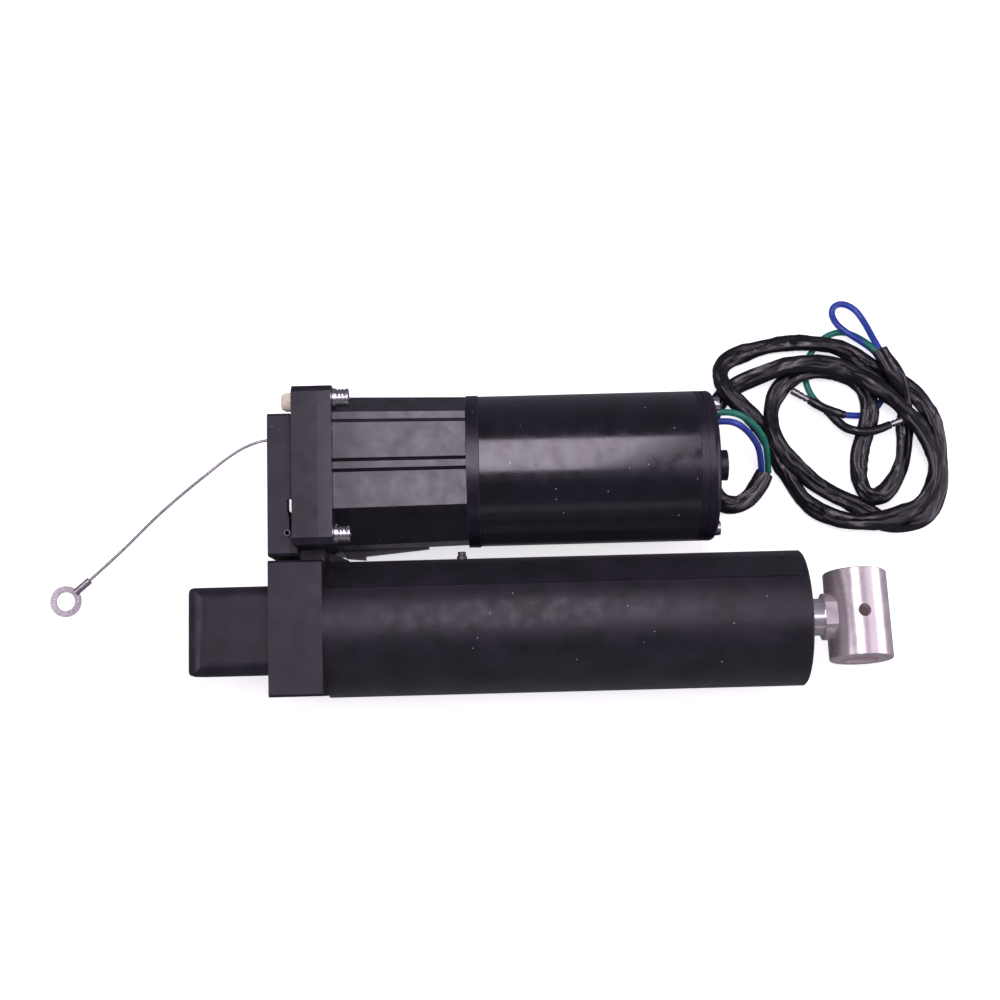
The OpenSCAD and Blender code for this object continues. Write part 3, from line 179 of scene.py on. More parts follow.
class TRIMUNIT_PG_colours(bpy.types.PropertyGroup):
    """Colours of the finishes."""

    casting: bpy.props.FloatVectorProperty(
        name="Casting", description="Paint of the castings", subtype="COLOR",
        default=(0.019, 0.0165, 0.025))
    motor: bpy.props.FloatVectorProperty(
        name="Motor", description="Gloss paint of the motor", subtype="COLOR",
        default=(0.006, 0.005, 0.0095))
    sleeve: bpy.props.FloatVectorProperty(
        name="Sleeve", description="Vinyl of the harness sleeve", subtype="COLOR",
        default=(0.005, 0.0045, 0.007))
    green_wire: bpy.props.FloatVectorProperty(
        name="Green wire", description="Insulation of the green wire", subtype="COLOR",
        default=(0.01, 0.19, 0.13))
    blue_wire: bpy.props.FloatVectorProperty(
        name="Blue wire", description="Insulation of the blue wire", subtype="COLOR",
        default=(0.02, 0.055, 0.36))


def deselect():
    if bpy.context.object and bpy.context.object.mode != "OBJECT":
        bpy.ops.object.mode_set(mode="OBJECT")
    bpy.ops.object.select_all(action="DESELECT")


def activate(obj):
    deselect()
    obj.select_set(True)
    bpy.context.view_layer.objects.active = obj


def settle(obj):
    """Puts the object's place into its mesh."""
    activate(obj)
    bpy.ops.object.transform_apply(location=True, rotation=True, scale=True)


def apply_modifiers(obj):
    activate(obj)
    for modifier in list(obj.modifiers):
        bpy.ops.object.modifier_apply(modifier=modifier.name)


def smooth(obj, angle=30):
    activate(obj)
    bpy.ops.object.shade_smooth_by_angle(angle=math.radians(angle))


def round_edges(obj, width, slot):
    """Rounds the sharp edges. The slot is the material of the rounded strips."""
    bevel = obj.modifiers.new("Edge", "BEVEL")
    bevel.width = width
    bevel.segments = EDGE_STEPS
    bevel.limit_method = "ANGLE"
    bevel.angle_limit = math.radians(SHARP_EDGE)
    bevel.harden_normals = False
    bevel.material = slot
    bevel.miter_outer = "MITER_ARC"
    apply_modifiers(obj)


def paint(obj, material):
    obj.data.materials.clear()
    obj.data.materials.append(material)


def join_in(obj, node, material=None):
    """Puts a piece on its node's body, in the node's place."""
    if material:
        paint(obj, material)
    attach(obj, BODY_OF[node])
    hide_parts(node)


def skinned(name, loops):
    """An object with a skin over closed loops of places in metres, and a cap on each end."""
    mesh = bmesh.new()
    rings = [[mesh.verts.new(place) for place in loop] for loop in loops]
    sides = len(rings[0])
    for a, b in zip(rings, rings[1:]):
        for k in range(sides):
            m = (k + 1) % sides
            mesh.faces.new((a[k], a[m], b[m], b[k]))
    mesh.faces.new(list(reversed(rings[0])))
    mesh.faces.new(rings[-1])
    bmesh.ops.recalc_face_normals(mesh, faces=mesh.faces)
    data = bpy.data.meshes.new(name)
    mesh.to_mesh(data)
    mesh.free()
    obj = bpy.data.objects.new(name, data)
    bpy.context.scene.collection.objects.link(obj)
    return obj


def dressed(node, material, width, cutters=(), painted_highlight=None):
    """A copy of a node less the cutters, with its edges rounded.

    The rounded edges can take a lighter finish of their own in a second slot, a painted highlight
    along every sharp edge.
    """
    activate(NODES[node])
    bpy.ops.object.duplicate()
    obj = bpy.context.object
    bpy.ops.object.parent_clear(type="CLEAR_KEEP_TRANSFORM")
    settle(obj)
    obj.name = node + "_dressed"
    bpy.ops.object.mode_set(mode="EDIT")
    bpy.ops.mesh.select_all(action="SELECT")
    bpy.ops.mesh.remove_doubles(threshold=WELD * MM)
    bpy.ops.mesh.dissolve_limited(angle_limit=math.radians(FLAT_EDGE))
    bpy.ops.object.mode_set(mode="OBJECT")
    for cutter in cutters:
        cut = obj.modifiers.new("Cut", "BOOLEAN")
        cut.object = cutter
        apply_modifiers(obj)
        bpy.data.objects.remove(cutter)
    paint(obj, material)
    # A lighter finish in the second slot paints a highlight on the rounded edge strips
    if painted_highlight:
        obj.data.materials.append(painted_highlight)
    if width:
        round_edges(obj, width, 1 if painted_highlight else 0)
    smooth(obj)
    weighted = obj.modifiers.new("Normals", "WEIGHTED_NORMAL")
    weighted.keep_sharp = True
    apply_modifiers(obj)
    join_in(obj, node)
    return obj


def turned(name, profile, start, direction, closed=True):
    """A turned piece: pairs of a place along the axis and a radius, in millimetres."""
    deselect()
    foot, radius = profile[0]
    bpy.ops.mesh.primitive_circle_add(
        vertices=TURNED_SIDES, radius=radius * MM, fill_type="NOTHING")
    obj = bpy.context.object
    obj.name = name
    bpy.ops.object.mode_set(mode="EDIT")
    bpy.ops.mesh.select_all(action="SELECT")
    if closed:
        bpy.ops.mesh.edge_face_add()
    height = foot
    for along, size in profile[1:]:
        bpy.ops.mesh.extrude_region_move(
            TRANSFORM_OT_translate={"value": (0, 0, (along - height) * MM)})
        ratio = size / radius
        bpy.ops.transform.resize(value=(ratio, ratio, 1), center_override=(0, 0, 0))
        height, radius = along, size
    bpy.ops.mesh.select_all(action="SELECT")
    bpy.ops.mesh.remove_doubles(threshold=WELD * MM)
    bpy.ops.mesh.normals_make_consistent(inside=False)
    bpy.ops.object.mode_set(mode="OBJECT")
    turn = Vector((0, 0, 1)).rotation_difference(Vector(direction)).to_matrix().to_4x4()
    place = Matrix.Translation(Vector(start) * MM)
    obj.data.transform(place @ turn @ Matrix.Translation((0, 0, -foot * MM)))
    smooth(obj)
    return obj


def join_all(objects, name):
    deselect()
    for obj in objects:
        obj.select_set(True)
    bpy.context.view_layer.objects.active = objects[0]
    bpy.ops.object.join()
    obj = bpy.context.object
    obj.name = name
    return obj


# Finishes


class Finish:
    """A node material that is put together on Object coordinates."""

    def __init__(self, name, base, roughness, metallic=0.0, coat=0.0, specular=0.5, sheen=0.0):
        self.material = bpy.data.materials.new(name)
        self.material.use_nodes = True
        self.tree = self.material.node_tree
        self.shader = self.tree.nodes["Principled BSDF"]
        self.shader.inputs["Base Color"].default_value = (*base, 1)
        self.shader.inputs["Roughness"].default_value = roughness
        self.shader.inputs["Metallic"].default_value = metallic
        self.shader.inputs["Coat Weight"].default_value = coat
        self.shader.inputs["Coat Roughness"].default_value = 0.12
        self.shader.inputs["Specular IOR Level"].default_value = specular
        self.shader.inputs["Sheen Weight"].default_value = sheen
        self.shader.inputs["Sheen Roughness"].default_value = 0.6
        self.place = self.tree.nodes.new("ShaderNodeTexCoord").outputs["Object"]
        self.bump = None

    def mapped(self, scale):
        mapping = self.tree.nodes.new("ShaderNodeMapping")
        mapping.inputs["Scale"].default_value = scale
        self.tree.links.new(self.place, mapping.inputs["Vector"])
        return mapping.outputs["Vector"]

    def grain(self, size, detail, stretch=(1, 1, 1)):
        """Noise of the given size in millimetres."""
        texture = self.tree.nodes.new("ShaderNodeTexNoise")
        texture.inputs["Scale"].default_value = 1.0
        texture.inputs["Detail"].default_value = detail
        scale = tuple(s / (size * MM) for s in stretch)
        self.tree.links.new(self.mapped(scale), texture.inputs["Vector"])
        return texture.outputs["Fac"]

    def spread(self, source, low, high, from_low=NOISE_LOW, from_high=NOISE_HIGH):
        """The source's range, spread over the one from low to high."""
        node = self.tree.nodes.new("ShaderNodeMapRange")
        node.inputs["From Min"].default_value = from_low
        node.inputs["From Max"].default_value = from_high
        node.inputs["To Min"].default_value = low
        node.inputs["To Max"].default_value = high
        self.tree.links.new(source, node.inputs["Value"])
        return node.outputs["Result"]

    def tint(self, source, low, high):
        """Colour that runs from one to the other over the source."""
        ramp = self.tree.nodes.new("ShaderNodeValToRGB")
        for stop, position, colour in zip(
                ramp.color_ramp.elements, (NOISE_LOW, NOISE_HIGH), (low, high)):
            stop.position = position
            stop.color = (*colour, 1)
        self.tree.links.new(source, ramp.inputs["Fac"])
        self.tree.links.new(ramp.outputs["Color"], self.shader.inputs["Base Color"])

    def flecks(self):
        """Sparse small chips that show the metal, over the base colour."""
        cells = self.tree.nodes.new("ShaderNodeTexVoronoi")
        cells.inputs["Scale"].default_value = 1.0
        self.tree.links.new(self.mapped((1 / (CHIP_CELL * MM),) * 3), cells.inputs["Vector"])
        mix = self.tree.nodes.new("ShaderNodeMix")
        mix.data_type = "RGBA"
        # On this node the colours are inputs 6 and 7 and output 2
        factor, under, over, mixed = mix.inputs[0], mix.inputs[6], mix.inputs[7], mix.outputs[2]
        socket = self.shader.inputs["Base Color"]
        self.tree.links.new(socket.links[0].from_socket, under)
        over.default_value = CHIP_COLOUR
        chip = self.spread(cells.outputs["Distance"], 1.0, 0.0, CHIP_RADIUS * 0.7, CHIP_RADIUS)
        self.tree.links.new(chip, factor)
        self.tree.links.new(mixed, socket)

    def rough(self, source, low, high):
        self.tree.links.new(self.spread(source, low, high), self.shader.inputs["Roughness"])

    def relief(self, source, height):
        """Bump of the given height in millimetres, over any bump before it."""
        node = self.tree.nodes.new("ShaderNodeBump")
        node.inputs["Strength"].default_value = 1.0
        node.inputs["Distance"].default_value = height * MM
        self.tree.links.new(source, node.inputs["Height"])
        if self.bump:
            self.tree.links.new(self.bump, node.inputs["Normal"])
        self.bump = node.outputs["Normal"]
        self.tree.links.new(self.bump, self.shader.inputs["Normal"])


def shade(colour, factor):
    return tuple(min(1.0, c * factor) for c in colour)


def coated(name, base, roughness, pebble, depth, coat=0.0, specular=0.5, cast=0.0, sheen=0.0):
    """Paint over metal, with an orange peel, a slow change of tone and small chips."""
    made = Finish(name, base, roughness, coat=coat, specular=specular, sheen=sheen)
    made.tint(made.grain(16, 6), shade(base, 0.62), shade(base, 1.6))
    made.rough(made.grain(7, 7), roughness - 0.08, roughness + 0.1)
    made.relief(made.grain(pebble, 2), depth)
    made.flecks()
    if cast:
        made.relief(made.grain(6, 3), cast)
    return made.material


def metal(name, base, roughness, stretch=(1, 1, 1), grain=0.5, depth=0.01, spread=0.08,
          metallic=1.0):
    """Bare metal with tool marks that run across the stretched axis."""
    made = Finish(name, base, roughness, metallic=metallic)
    made.tint(made.grain(14, 3), shade(base, 0.86), shade(base, 1.08))
    marks = made.grain(grain, 2, stretch)
    made.rough(marks, roughness - spread, roughness + spread)
    made.relief(marks, depth)
    return made.material


def vinyl(name, base, roughness, pebble=0.6, depth=0.02, coat=0.3):
    """Soft plastic skin."""
    made = Finish(name, base, roughness, coat=coat)
    made.tint(made.grain(8, 3), shade(base, 0.82), shade(base, 1.25))
    made.rough(made.grain(3, 3), roughness - 0.06, roughness + 0.1)
    made.relief(made.grain(pebble, 2), depth)
    return made.material


def make_finishes(colours):
    casting = tuple(colours.casting)
    motor = tuple(colours.motor)
    sleeve = tuple(colours.sleeve)
    return {
        "casting": coated("charcoal_casting", shade(casting, 0.85), 0.42, 0.7, 0.03,
                          specular=0.4, cast=0.02),
        "reservoir": coated("reservoir_casting", shade(casting, 0.62), 0.34, 0.6, 0.012,
                            coat=0.25, cast=0.01),
        # Paint 2.6 times lighter than the castings', for the rounded edge strips: a painted
        # highlight along the sharp edges
        "painted_highlight": coated("painted_edge_highlight", shade(casting, 2.6), 0.34, 0.7, 0.01, 0.2),
        "tube": coated("tube_paint", shade(casting, 0.6), 0.42, 0.5, 0.02,
                       specular=0.4, sheen=0.04),
        "motor": coated("gloss_motor_paint", motor, 0.2, 1.6, 0.006, coat=0.35, sheen=0.03),
        "cap": coated("satin_motor_paint", shade(motor, 1.6), 0.34, 0.7, 0.015),
        "steel": metal("bright_steel", (0.80, 0.79, 0.80), 0.2,
                       grain=1.4, depth=0.002, spread=0.05),
        "dark_steel": metal("dark_steel", (0.10, 0.10, 0.105), 0.4),
        "rod": metal("ground_rod", (0.90, 0.87, 0.88), 0.2, (3, 1, 1), 3.0, 0.001, 0.03, 0.75),
        "nickel": metal("machined_nickel", (0.92, 0.84, 0.83), 0.25,
                        grain=5.0, depth=0.001, spread=0.03, metallic=0.72),
        "aluminium": metal("turned_aluminium", (0.66, 0.67, 0.69), 0.34, (10, 1, 1)),
        "brass": metal("turned_brass", (0.66, 0.50, 0.24), 0.3),
        "copper": metal("lacquered_copper", (0.62, 0.25, 0.10), 0.32, (1, 8, 8), 1.0, 0.15),
        "laminate": metal("laminated_core", (0.22, 0.22, 0.24), 0.42, (30, 1, 1), 0.8, 0.05),
        "tin": metal("tinned_plate", (0.74, 0.70, 0.71), 0.3, (1, 1, 1), 0.7, 0.02),
        "mesh": metal("filter_gauze", (0.5, 0.47, 0.38), 0.42, (4, 4, 4), 0.9, 0.2),
        "ferrite": coated("ferrite", (0.045, 0.045, 0.05), 0.6, 0.4, 0.03),
        "phenolic": coated("phenolic_board", (0.13, 0.06, 0.028), 0.45, 0.4, 0.02),
        "carbon": coated("carbon", (0.02, 0.02, 0.021), 0.5, 0.3, 0.03),
        "rubber": vinyl("black_rubber", (0.012, 0.012, 0.013), 0.55, 0.4, 0.02, 0.0),
        "bush": vinyl("bush_plastic", (0.03, 0.03, 0.032), 0.42, 0.5, 0.01, 0.0),
        "cream": vinyl("cream_plastic", (0.86, 0.77, 0.56), 0.38, 0.5, 0.015, 0.1),
        "sleeve": vinyl("sleeve_vinyl", sleeve, 0.34, 4.0, 0.02, 0.2),
        "boot": vinyl("boot_vinyl", shade(sleeve, 1.3), 0.3, 0.6, 0.03, 0.3),
        "green": vinyl("green_insulation", tuple(colours.green_wire), 0.36, 0.5, 0.01, 0.15),
        "blue": vinyl("blue_insulation", tuple(colours.blue_wire), 0.36, 0.5, 0.01, 0.15),
    }


FINISH = {}

# Routes of the wiring: X and Y in millimetres from the wire exit and the motor's axis, then the
# height above where the cord lies, in cord diameters. For the two motor leads the height is a
# share of the motor axis's height above the sleeve's.
SLEEVE_ROUTE = [
    (32.1, 0.8, 0), (28.2, -5.8, 0), (22.4, -12.6, 0), (15.3, -16.6, 0),
    (6.5, -13.6, 0), (2.1, -3, 0), (1.7, 14, 0), (3.9, 32, 0),
    (13, 44.6, 0), (21.6, 50.1, 0), (30.7, 53.6, 0.3), (40.4, 56.7, 0.8),
    (50.2, 58.2, 1.12), (61.2, 57.9, 1.12), (72.3, 55.9, 1), (83.1, 50.7, 1),
    (93.7, 43.9, 1), (103.4, 35.3, 0.95), (112.2, 25.8, 0.9), (118.7, 14.4, 0.95),
    (121.3, 2.3, 1), (119.2, -8.6, 0.9), (113, -18, 0.75), (100, -24.7, 0.9),
    (86, -27.6, 1), (73.1, -26.5, 0.6), (60.4, -21.1, 0.1), (50.1, -11.5, 0),
    (44.3, -2.1, 0), (39.5, 8.8, 0), (35, 19.2, 0), (27.5, 29.3, 0.3),
    (18.6, 38.1, 0.7), (11.8, 45, 1.1), (9, 53, 0.8), (12, 60.3, 0.3),
    (18.5, 64.5, 0), (28, 67.7, 0), (39.3, 70.2, 0), (50.4, 71.4, 0.1),
    (61.1, 70.4, 0.35), (72.1, 68.4, 0.4), (81.1, 63.9, 0.4), (89.1, 57.1, 0.4),
    (98.3, 51.9, 0.25), (107.8, 47.3, 0), (116.6, 39, 0), (122.9, 28.5, 0),
    (125.6, 16.3, 0), (125.8, 4.1, 0), (125.2, -6.1, 0), (122.4, -16.2, 0),
    (116.2, -24.6, 0), (107.9, -29.2, 0), (98.7, -29.6, 0), (90.7, -25.5, 0),
    (82.7, -19.6, 0), (74.7, -15.1, 0), (65.7, -10.5, 0), (56.9, -4.3, 0),
    (48.4, 3, 0.4), (42.2, 9.7, 0.8), (37.9, 17.1, 0.9), (35.8, 25.3, 0.7),
    (36.4, 33.7, 0.3), (39.3, 42, 0), (44.3, 49, 0), (51.1, 53.3, 0.25),
    (59.4, 55.1, 0.36), (70, 55.2, 0.1), (79.3, 52.8, 0), (86.4, 47.4, 0),
    (89.5, 39.5, 0.2), (89.4, 31.3, 0.36), (87.4, 23.2, 0.15), (84.4, 14.6, 0),
    (82.4, 5.3, 0), (81.9, -4.2, 0.2), (84.1, -12.5, 0.6), (90.7, -14.5, 0.6),
    (98.2, -8.3, 0.2), (104.3, 1, 0), (107.3, 12.1, 0), (108.2, 23.3, 0),
    (108.7, 31.3, 0), (108.3, 38.7, 0.1), (105.5, 46.1, 0.85), (101.3, 53.6, 1.1),
    (95.4, 64.8, 0.9),
]
GREEN_LEAD_ROUTE = [
    (0, 27.1, 1), (10.5, 27, 0.99), (20.5, 23.6, 0.76), (29.9, 15.4, 0.4), (33.8, 1, 0),
]
BLUE_LEAD_ROUTE = [
    (0, 22.5, 1), (9.5, 22.4, 0.98), (18.5, 19.2, 0.74), (26.8, 12, 0.36), (30.2, 1.2, 0),
]
GREEN_TAIL_ROUTE = [
    (96.8, 59.5, 2.3), (93.4, 65.2, 2.1), (89, 70.3, 1.2), (84.5, 74.5, 0.2),
    (79.2, 76.8, 0), (73.6, 76.6, 0), (68.3, 74.4, 0), (62.9, 69.3, 0),
    (58.4, 62.8, 0), (56.4, 55.2, 0), (57.3, 47.6, 0), (60.5, 40.9, 0),
    (66.9, 33.9, 0.3),
]
BLUE_TAIL_ROUTE = [
    (97.9, 59.8, 2.6), (95.4, 65.2, 2.4), (92.7, 72.5, 1.6), (89.7, 81.4, 0.6),
    (85.8, 88.6, 0.1), (81.4, 91.9, 0), (76.8, 92.8, 0), (73.2, 90.5, 0),
    (72.7, 86.1, 0.1), (75.1, 80.3, 0.7), (80.1, 75.4, 1.1), (85.5, 71.6, 1.1),
    (91.5, 67.4, 0.9), (97.2, 62, 0.3), (99.8, 54.1, 0), (99.6, 45.5, 0),
    (96.6, 38.1, 0), (91.7, 33, 0), (85, 30.8, 0.1), (76, 31.4, 0.3),
]
GREEN_BOOT_ROUTE = [
    (66.9, 33.9, 0.3), (74.1, 25.2, 1.2), (79.2, 21.8, 2.1), (85.4, 20.8, 2.3),
    (92, 21.8, 2.2), (99.2, 24.4, 2),
]
BLUE_BOOT_ROUTE = [(76, 31.4, 0.3), (65.8, 33.8, 1.75), (56.9, 39.2, 1.4)]
# X from the manifold block, Y, and height as a share of the exit's height
BONDING_ROUTE = [
    (-1, 100.5, 1), (-11.1, 100.3, 0.95), (-25.1, 96.4, 0.52), (-43.1, 86, 0.06),
    (-67.1, 66.6, 0), (-88.1, 46.5, 0), (-105.2, 30.8, 0.06),
]


def laid(route, diameter, rise=None):
    """Points in millimetres of a cord of the given diameter, from where it lies on the floor.

    The rise is what a height of 1 in the route stands for, a diameter if not given.
    """
    lie = FLOOR_Z + diameter / 2
    rise = diameter if rise is None else rise
    return [Vector((WIRE_EXIT_X + x, MOTOR_Y + y, lie + h * rise)) for x, y, h in route]


def curve_through(points, step):
    """Evenly spaced points on a smooth curve through the route."""
    fine = []
    last = len(points) - 1
    for i in range(last):
        a = points[max(0, i - 1)]
        b, c = points[i], points[i + 1]
        d = points[min(last, i + 2)]
        for k in range(24):
            t = k / 24
            fine.append(0.5 * (2 * b + (c - a) * t + (2 * a - 5 * b + 4 * c - d) * t * t
                               + (3 * b - a - 3 * c + d) * t ** 3))
    fine.append(points[-1].copy())
    return evened(fine, step)


def evened(line, step):
    """The same line with its points about a step apart."""
    lengths = [0.0]
    for a, b in zip(line, line[1:]):
        lengths.append(lengths[-1] + (b - a).length)
    count = max(4, round(lengths[-1] / step))
    spaced = []
    k = 0
    for i in range(count + 1):
        want = lengths[-1] * i / count
        while k < len(line) - 2 and lengths[k + 1] < want:
            k += 1
        span = max(lengths[k + 1] - lengths[k], 1e-9)
        spaced.append(line[k].lerp(line[k + 1], min(1.0, (want - lengths[k]) / span)))
    return spaced


def relaxed(line, rounds, step):
    """The same line with its small kinks eased and its ends kept."""
    for _ in range(rounds):
        line = [line[0], line[1]] + [
            (line[i - 1] + 2 * line[i] + line[i + 1]) / 4 for i in range(2, len(line) - 2)
        ] + [line[-2], line[-1]]
    return evened(line, step)


def swept(name, line, sides, section, mouth=0.0, low=None):
    """A cord along a line, with an open mouth of the given depth at each end.

    The section gives each point's offset across and up. No point is below the low height.
    """
    rings = []
    last = len(line) - 1
    for i, centre in enumerate(line):
        along = (line[min(last, i + 1)] - line[max(0, i - 1)]).normalized()
        across = along.cross(Vector((0, 0, 1)))
        across = across.normalized() if across.length > 0.05 else Vector((0, 1, 0))
        up = across.cross(along)
        ring = []
        for k in range(sides):
            u, v = section(i, 2 * math.pi * k / sides)
            point = centre + across * u + up * v
            if low is not None:
                point.z = max(point.z, low)
            ring.append(point)
        rings.append((ring, centre, along))
    if mouth:
        for end, sign in ((0, 1), (last, -1)):
            ring, centre, along = rings[end]
            for depth in (0.0, mouth):
                loop = [p.lerp(centre, 0.2) + along * sign * depth for p in ring]
                if end == 0:
                    rings.insert(0, (loop, centre, along))
                else:
                    rings.append((loop, centre, along))
    obj = skinned(name, [[p * MM for p in ring] for ring, _, _ in rings])
    smooth(obj, 50)
    return obj


def round_section(radius):
    return lambda i, a: (radius * math.cos(a), radius * math.sin(a))


class TRIMUNIT_OT_stage(bpy.types.Operator):
    """Pale floor, soft lights and the camera at the photograph's angle."""

    bl_idname = "trimunit.stage"
    bl_label = "Stage and Camera"

    def execute(self, context):
        deselect()
        bpy.ops.mesh.primitive_plane_add(
            size=FLOOR_SIZE, location=(*MIDDLE[:2], (FLOOR_Z - FLOOR_GAP) * MM))
        floor = bpy.context.object
        floor.name = "studio_floor"
        settle(floor)
        made = Finish("pale_floor", (0.92, 0.92, 0.93), 0.7, specular=0.2)
        made.shader.inputs["Emission Color"].default_value = (1, 1, 1, 1)
        made.rough(made.grain(30, 3), 0.66, 0.76)
        # The glow is strongest under the part and falls off outwards
        away = made.tree.nodes.new("ShaderNodeVectorMath")
        away.operation = "DISTANCE"
        away.inputs[1].default_value = MIDDLE
        made.tree.links.new(made.place, away.inputs[0])
        glow = made.spread(
            away.outputs["Value"], FLOOR_GLOW, FLOOR_GLOW / 4, GLOW_NEAR, GLOW_FAR)
        made.tree.links.new(glow, made.shader.inputs["Emission Strength"])
        paint(floor, made.material)
        # The dark slopes would mirror the floor's glow
        floor.visible_glossy = False

        for name, place, aim, size, power, colour in SOFTBOXES:
            light = bpy.data.lights.new(name, "AREA")
            light.shape = "RECTANGLE"
            light.size, light.size_y = size
            light.energy = power
            light.color = colour
            lamp = bpy.data.objects.new(name, light)
            context.scene.collection.objects.link(lamp)
            lamp.location = place
            beam = Vector(aim) - Vector(place)
            lamp.rotation_euler = beam.to_track_quat("-Z", "Y").to_euler()

        world = bpy.data.worlds.new("studio_world")
        context.scene.world = world
        world.use_nodes = True
        background = world.node_tree.nodes["Background"]
        background.inputs["Color"].default_value = WORLD_COLOUR
        background.inputs["Strength"].default_value = WORLD_STRENGTH

        data = bpy.data.cameras.new("camera")
        data.lens = CAMERA_LENS
        data.sensor_width = SENSOR
        camera = bpy.data.objects.new("camera", data)
        context.scene.collection.objects.link(camera)
        tilt = Matrix.Rotation(math.radians(CAMERA_TILT), 4, "X")
        roll = Matrix.Rotation(math.radians(CAMERA_ROLL), 4, "Z")
        back = tilt @ Vector((0, 0, CAMERA_DISTANCE))
        camera.matrix_world = Matrix.Translation((Vector(TARGET) + back) * MM) @ tilt @ roll
        context.scene.camera = camera
        context.scene.view_settings.view_transform = "Standard"
        FINISH.update(make_finishes(context.scene.trimunit_colours))
        return {"FINISHED"}


class TRIMUNIT_OT_wiring(bpy.types.Operator):
    """Motor leads, harness sleeve, tails with their boots and bullets, and the bonding lead."""

    bl_idname = "trimunit.wiring"
    bl_label = "Wiring"

    def wire(self, node, points, diameter, finish):
        line = relaxed(curve_through(points, 1.0), 6, 1.2)
        obj = swept(node + "_run", line, CORD_SIDES, round_section(diameter / 2))
        join_in(obj, node, FINISH[finish])
        return obj, line

    def execute(self, context):
        sizes = context.scene.trimunit_sizes
        wire = sizes.wire_diameter / MM
        sleeve = sizes.sleeve_diameter / MM
        rise = MOTOR_Z - (FLOOR_Z + sleeve / 2)
        for node, route, finish in (
            ("green_motor_lead", GREEN_LEAD_ROUTE, "green"),
            ("blue_motor_lead", BLUE_LEAD_ROUTE, "blue"),
        ):
            obj, line = self.wire(node, laid(route, sleeve, rise), wire, finish)
        self.sleeve(sleeve)
        boots = {}
        for colour, route in (("green", GREEN_BOOT_ROUTE), ("blue", BLUE_BOOT_ROUTE)):
            points = laid(route, wire)
            boots[colour] = self.boot(colour + "_boot", points), points
        for colour, route in (("green", GREEN_TAIL_ROUTE), ("blue", BLUE_TAIL_ROUTE)):
            boot, points = boots[colour]
            obj, line = self.wire(colour + "_tail", laid(route, wire), wire, colour)
            self.bullet(colour + "_bullet", points)
        self.bonding(sizes.lead_diameter / MM)
        return {"FINISHED"}

    def sleeve(self, diameter):
        """The soft sleeve, flattened, folded and creased along its way by fixed noise."""
        line = relaxed(curve_through(laid(SLEEVE_ROUTE, diameter), 1.5), 10, SLEEVE_STEP)
        radius = diameter / 2

        def section(i, angle):
            s = i * SLEEVE_STEP
            width = 1.1 + 0.24 * noise.noise(Vector((s / 18, 3.1, 8.8)))
            squash = 0.26 + 0.18 * noise.noise(Vector((s / 26, 7.3, 0)))
            turn = angle - 1.5 * noise.noise(Vector((s / 40, 1.7, 4.2)))
            # Folds with sharp crests between broad hollows
            slant = angle + 0.35 * noise.noise(Vector((s / 8, 0.4, 6.1)))
            x, y = math.cos(slant), math.sin(slant)
            fold = abs(noise.noise(Vector((s / 27, 1.1 * x, 1.1 * y))))
            crease = abs(noise.noise(Vector((s / 10, 3 + 1.2 * x, 1.2 * y))))
            share = 1.06 + squash * math.cos(2 * turn) - 0.45 * fold - 0.16 * crease
            r = min(radius * width * share, radius * 1.42)
            return r * math.cos(angle), r * math.sin(angle)

        obj = swept("harness_sleeve_run", line, SLEEVE_SIDES, section,
                    mouth=SLEEVE_MOUTH, low=FLOOR_Z + FLOOR_GAP)
        join_in(obj, "harness_sleeve", FINISH["sleeve"])

    def boot(self, node, points):
        """The sleeve moulded over a connector, with a neck near its start and a tapered end."""
        line = relaxed(curve_through(points, BOOT_STEP), 3, BOOT_STEP)
        count = len(line) - 1

        def section(i, angle):
            t = i / count
            neck = 0.25 * math.exp(-((t - 0.06) / 0.08) ** 2)
            taper = 0.3 * max(0, t - 0.82) / 0.18
            r = BOOT_RADIUS - neck - taper
            r += 0.1 * noise.noise(Vector((i / 3, 2 * math.cos(angle), 2 * math.sin(angle))))
            return r * math.cos(angle), r * math.sin(angle)

        obj = swept(node + "_moulding", line, CORD_SIDES, section,
                    mouth=BOOT_MOUTH, low=FLOOR_Z + FLOOR_GAP)
        join_in(obj, node, FINISH["boot"])
        return obj

    def bullet(self, node, points):
        """The bullet connector that sticks out of the boot along the given points."""
        heading = points[-1] - points[-2]
        heading = Vector((heading.x, heading.y, 0)).normalized()
        profile = [
            (-1, 1.5), (0, 1.5), (0.2, 1.8), (1.6, 1.8), (1.9, 1.5), (2.6, 1.5), (2.9, 1.9),
            (4.6, 1.9), (4.9, 1.7), (5.3, 1.7), (5.6, 1.95), (9.3, 1.95), (9.5, 1.75),
            (9.5, 1.2), (4.2, 1.1),
        ]
        obj = turned(node + "_crimped", profile, points[-1] - heading, heading)
        join_in(obj, node, FINISH["steel"])
        return obj

    def bonding(self, diameter):
        """The twisted lead from the manifold block, with its ring terminal."""
        lie = FLOOR_Z + diameter / 2
        rise = LEAD_EXIT_Z - lie
        points = [Vector((BLOCK_X + x, y, lie + h * rise)) for x, y, h in BONDING_ROUTE]
        line = relaxed(curve_through(points, 0.5), 8, 0.4)

        def section(i, angle):
            strands = 0.5 * (1 + math.cos(STRANDS * (angle + 0.36 * i)))
            r = diameter / 2 * (0.84 + 0.2 * strands)
            return r * math.cos(angle), r * math.sin(angle)

        obj = swept("bonding_lead_run", line, BONDING_SIDES, section)
        join_in(obj, "bonding_lead", FINISH["tin"])
        terminal = dressed("ring_terminal", FINISH["tin"], 0.2 * MM)


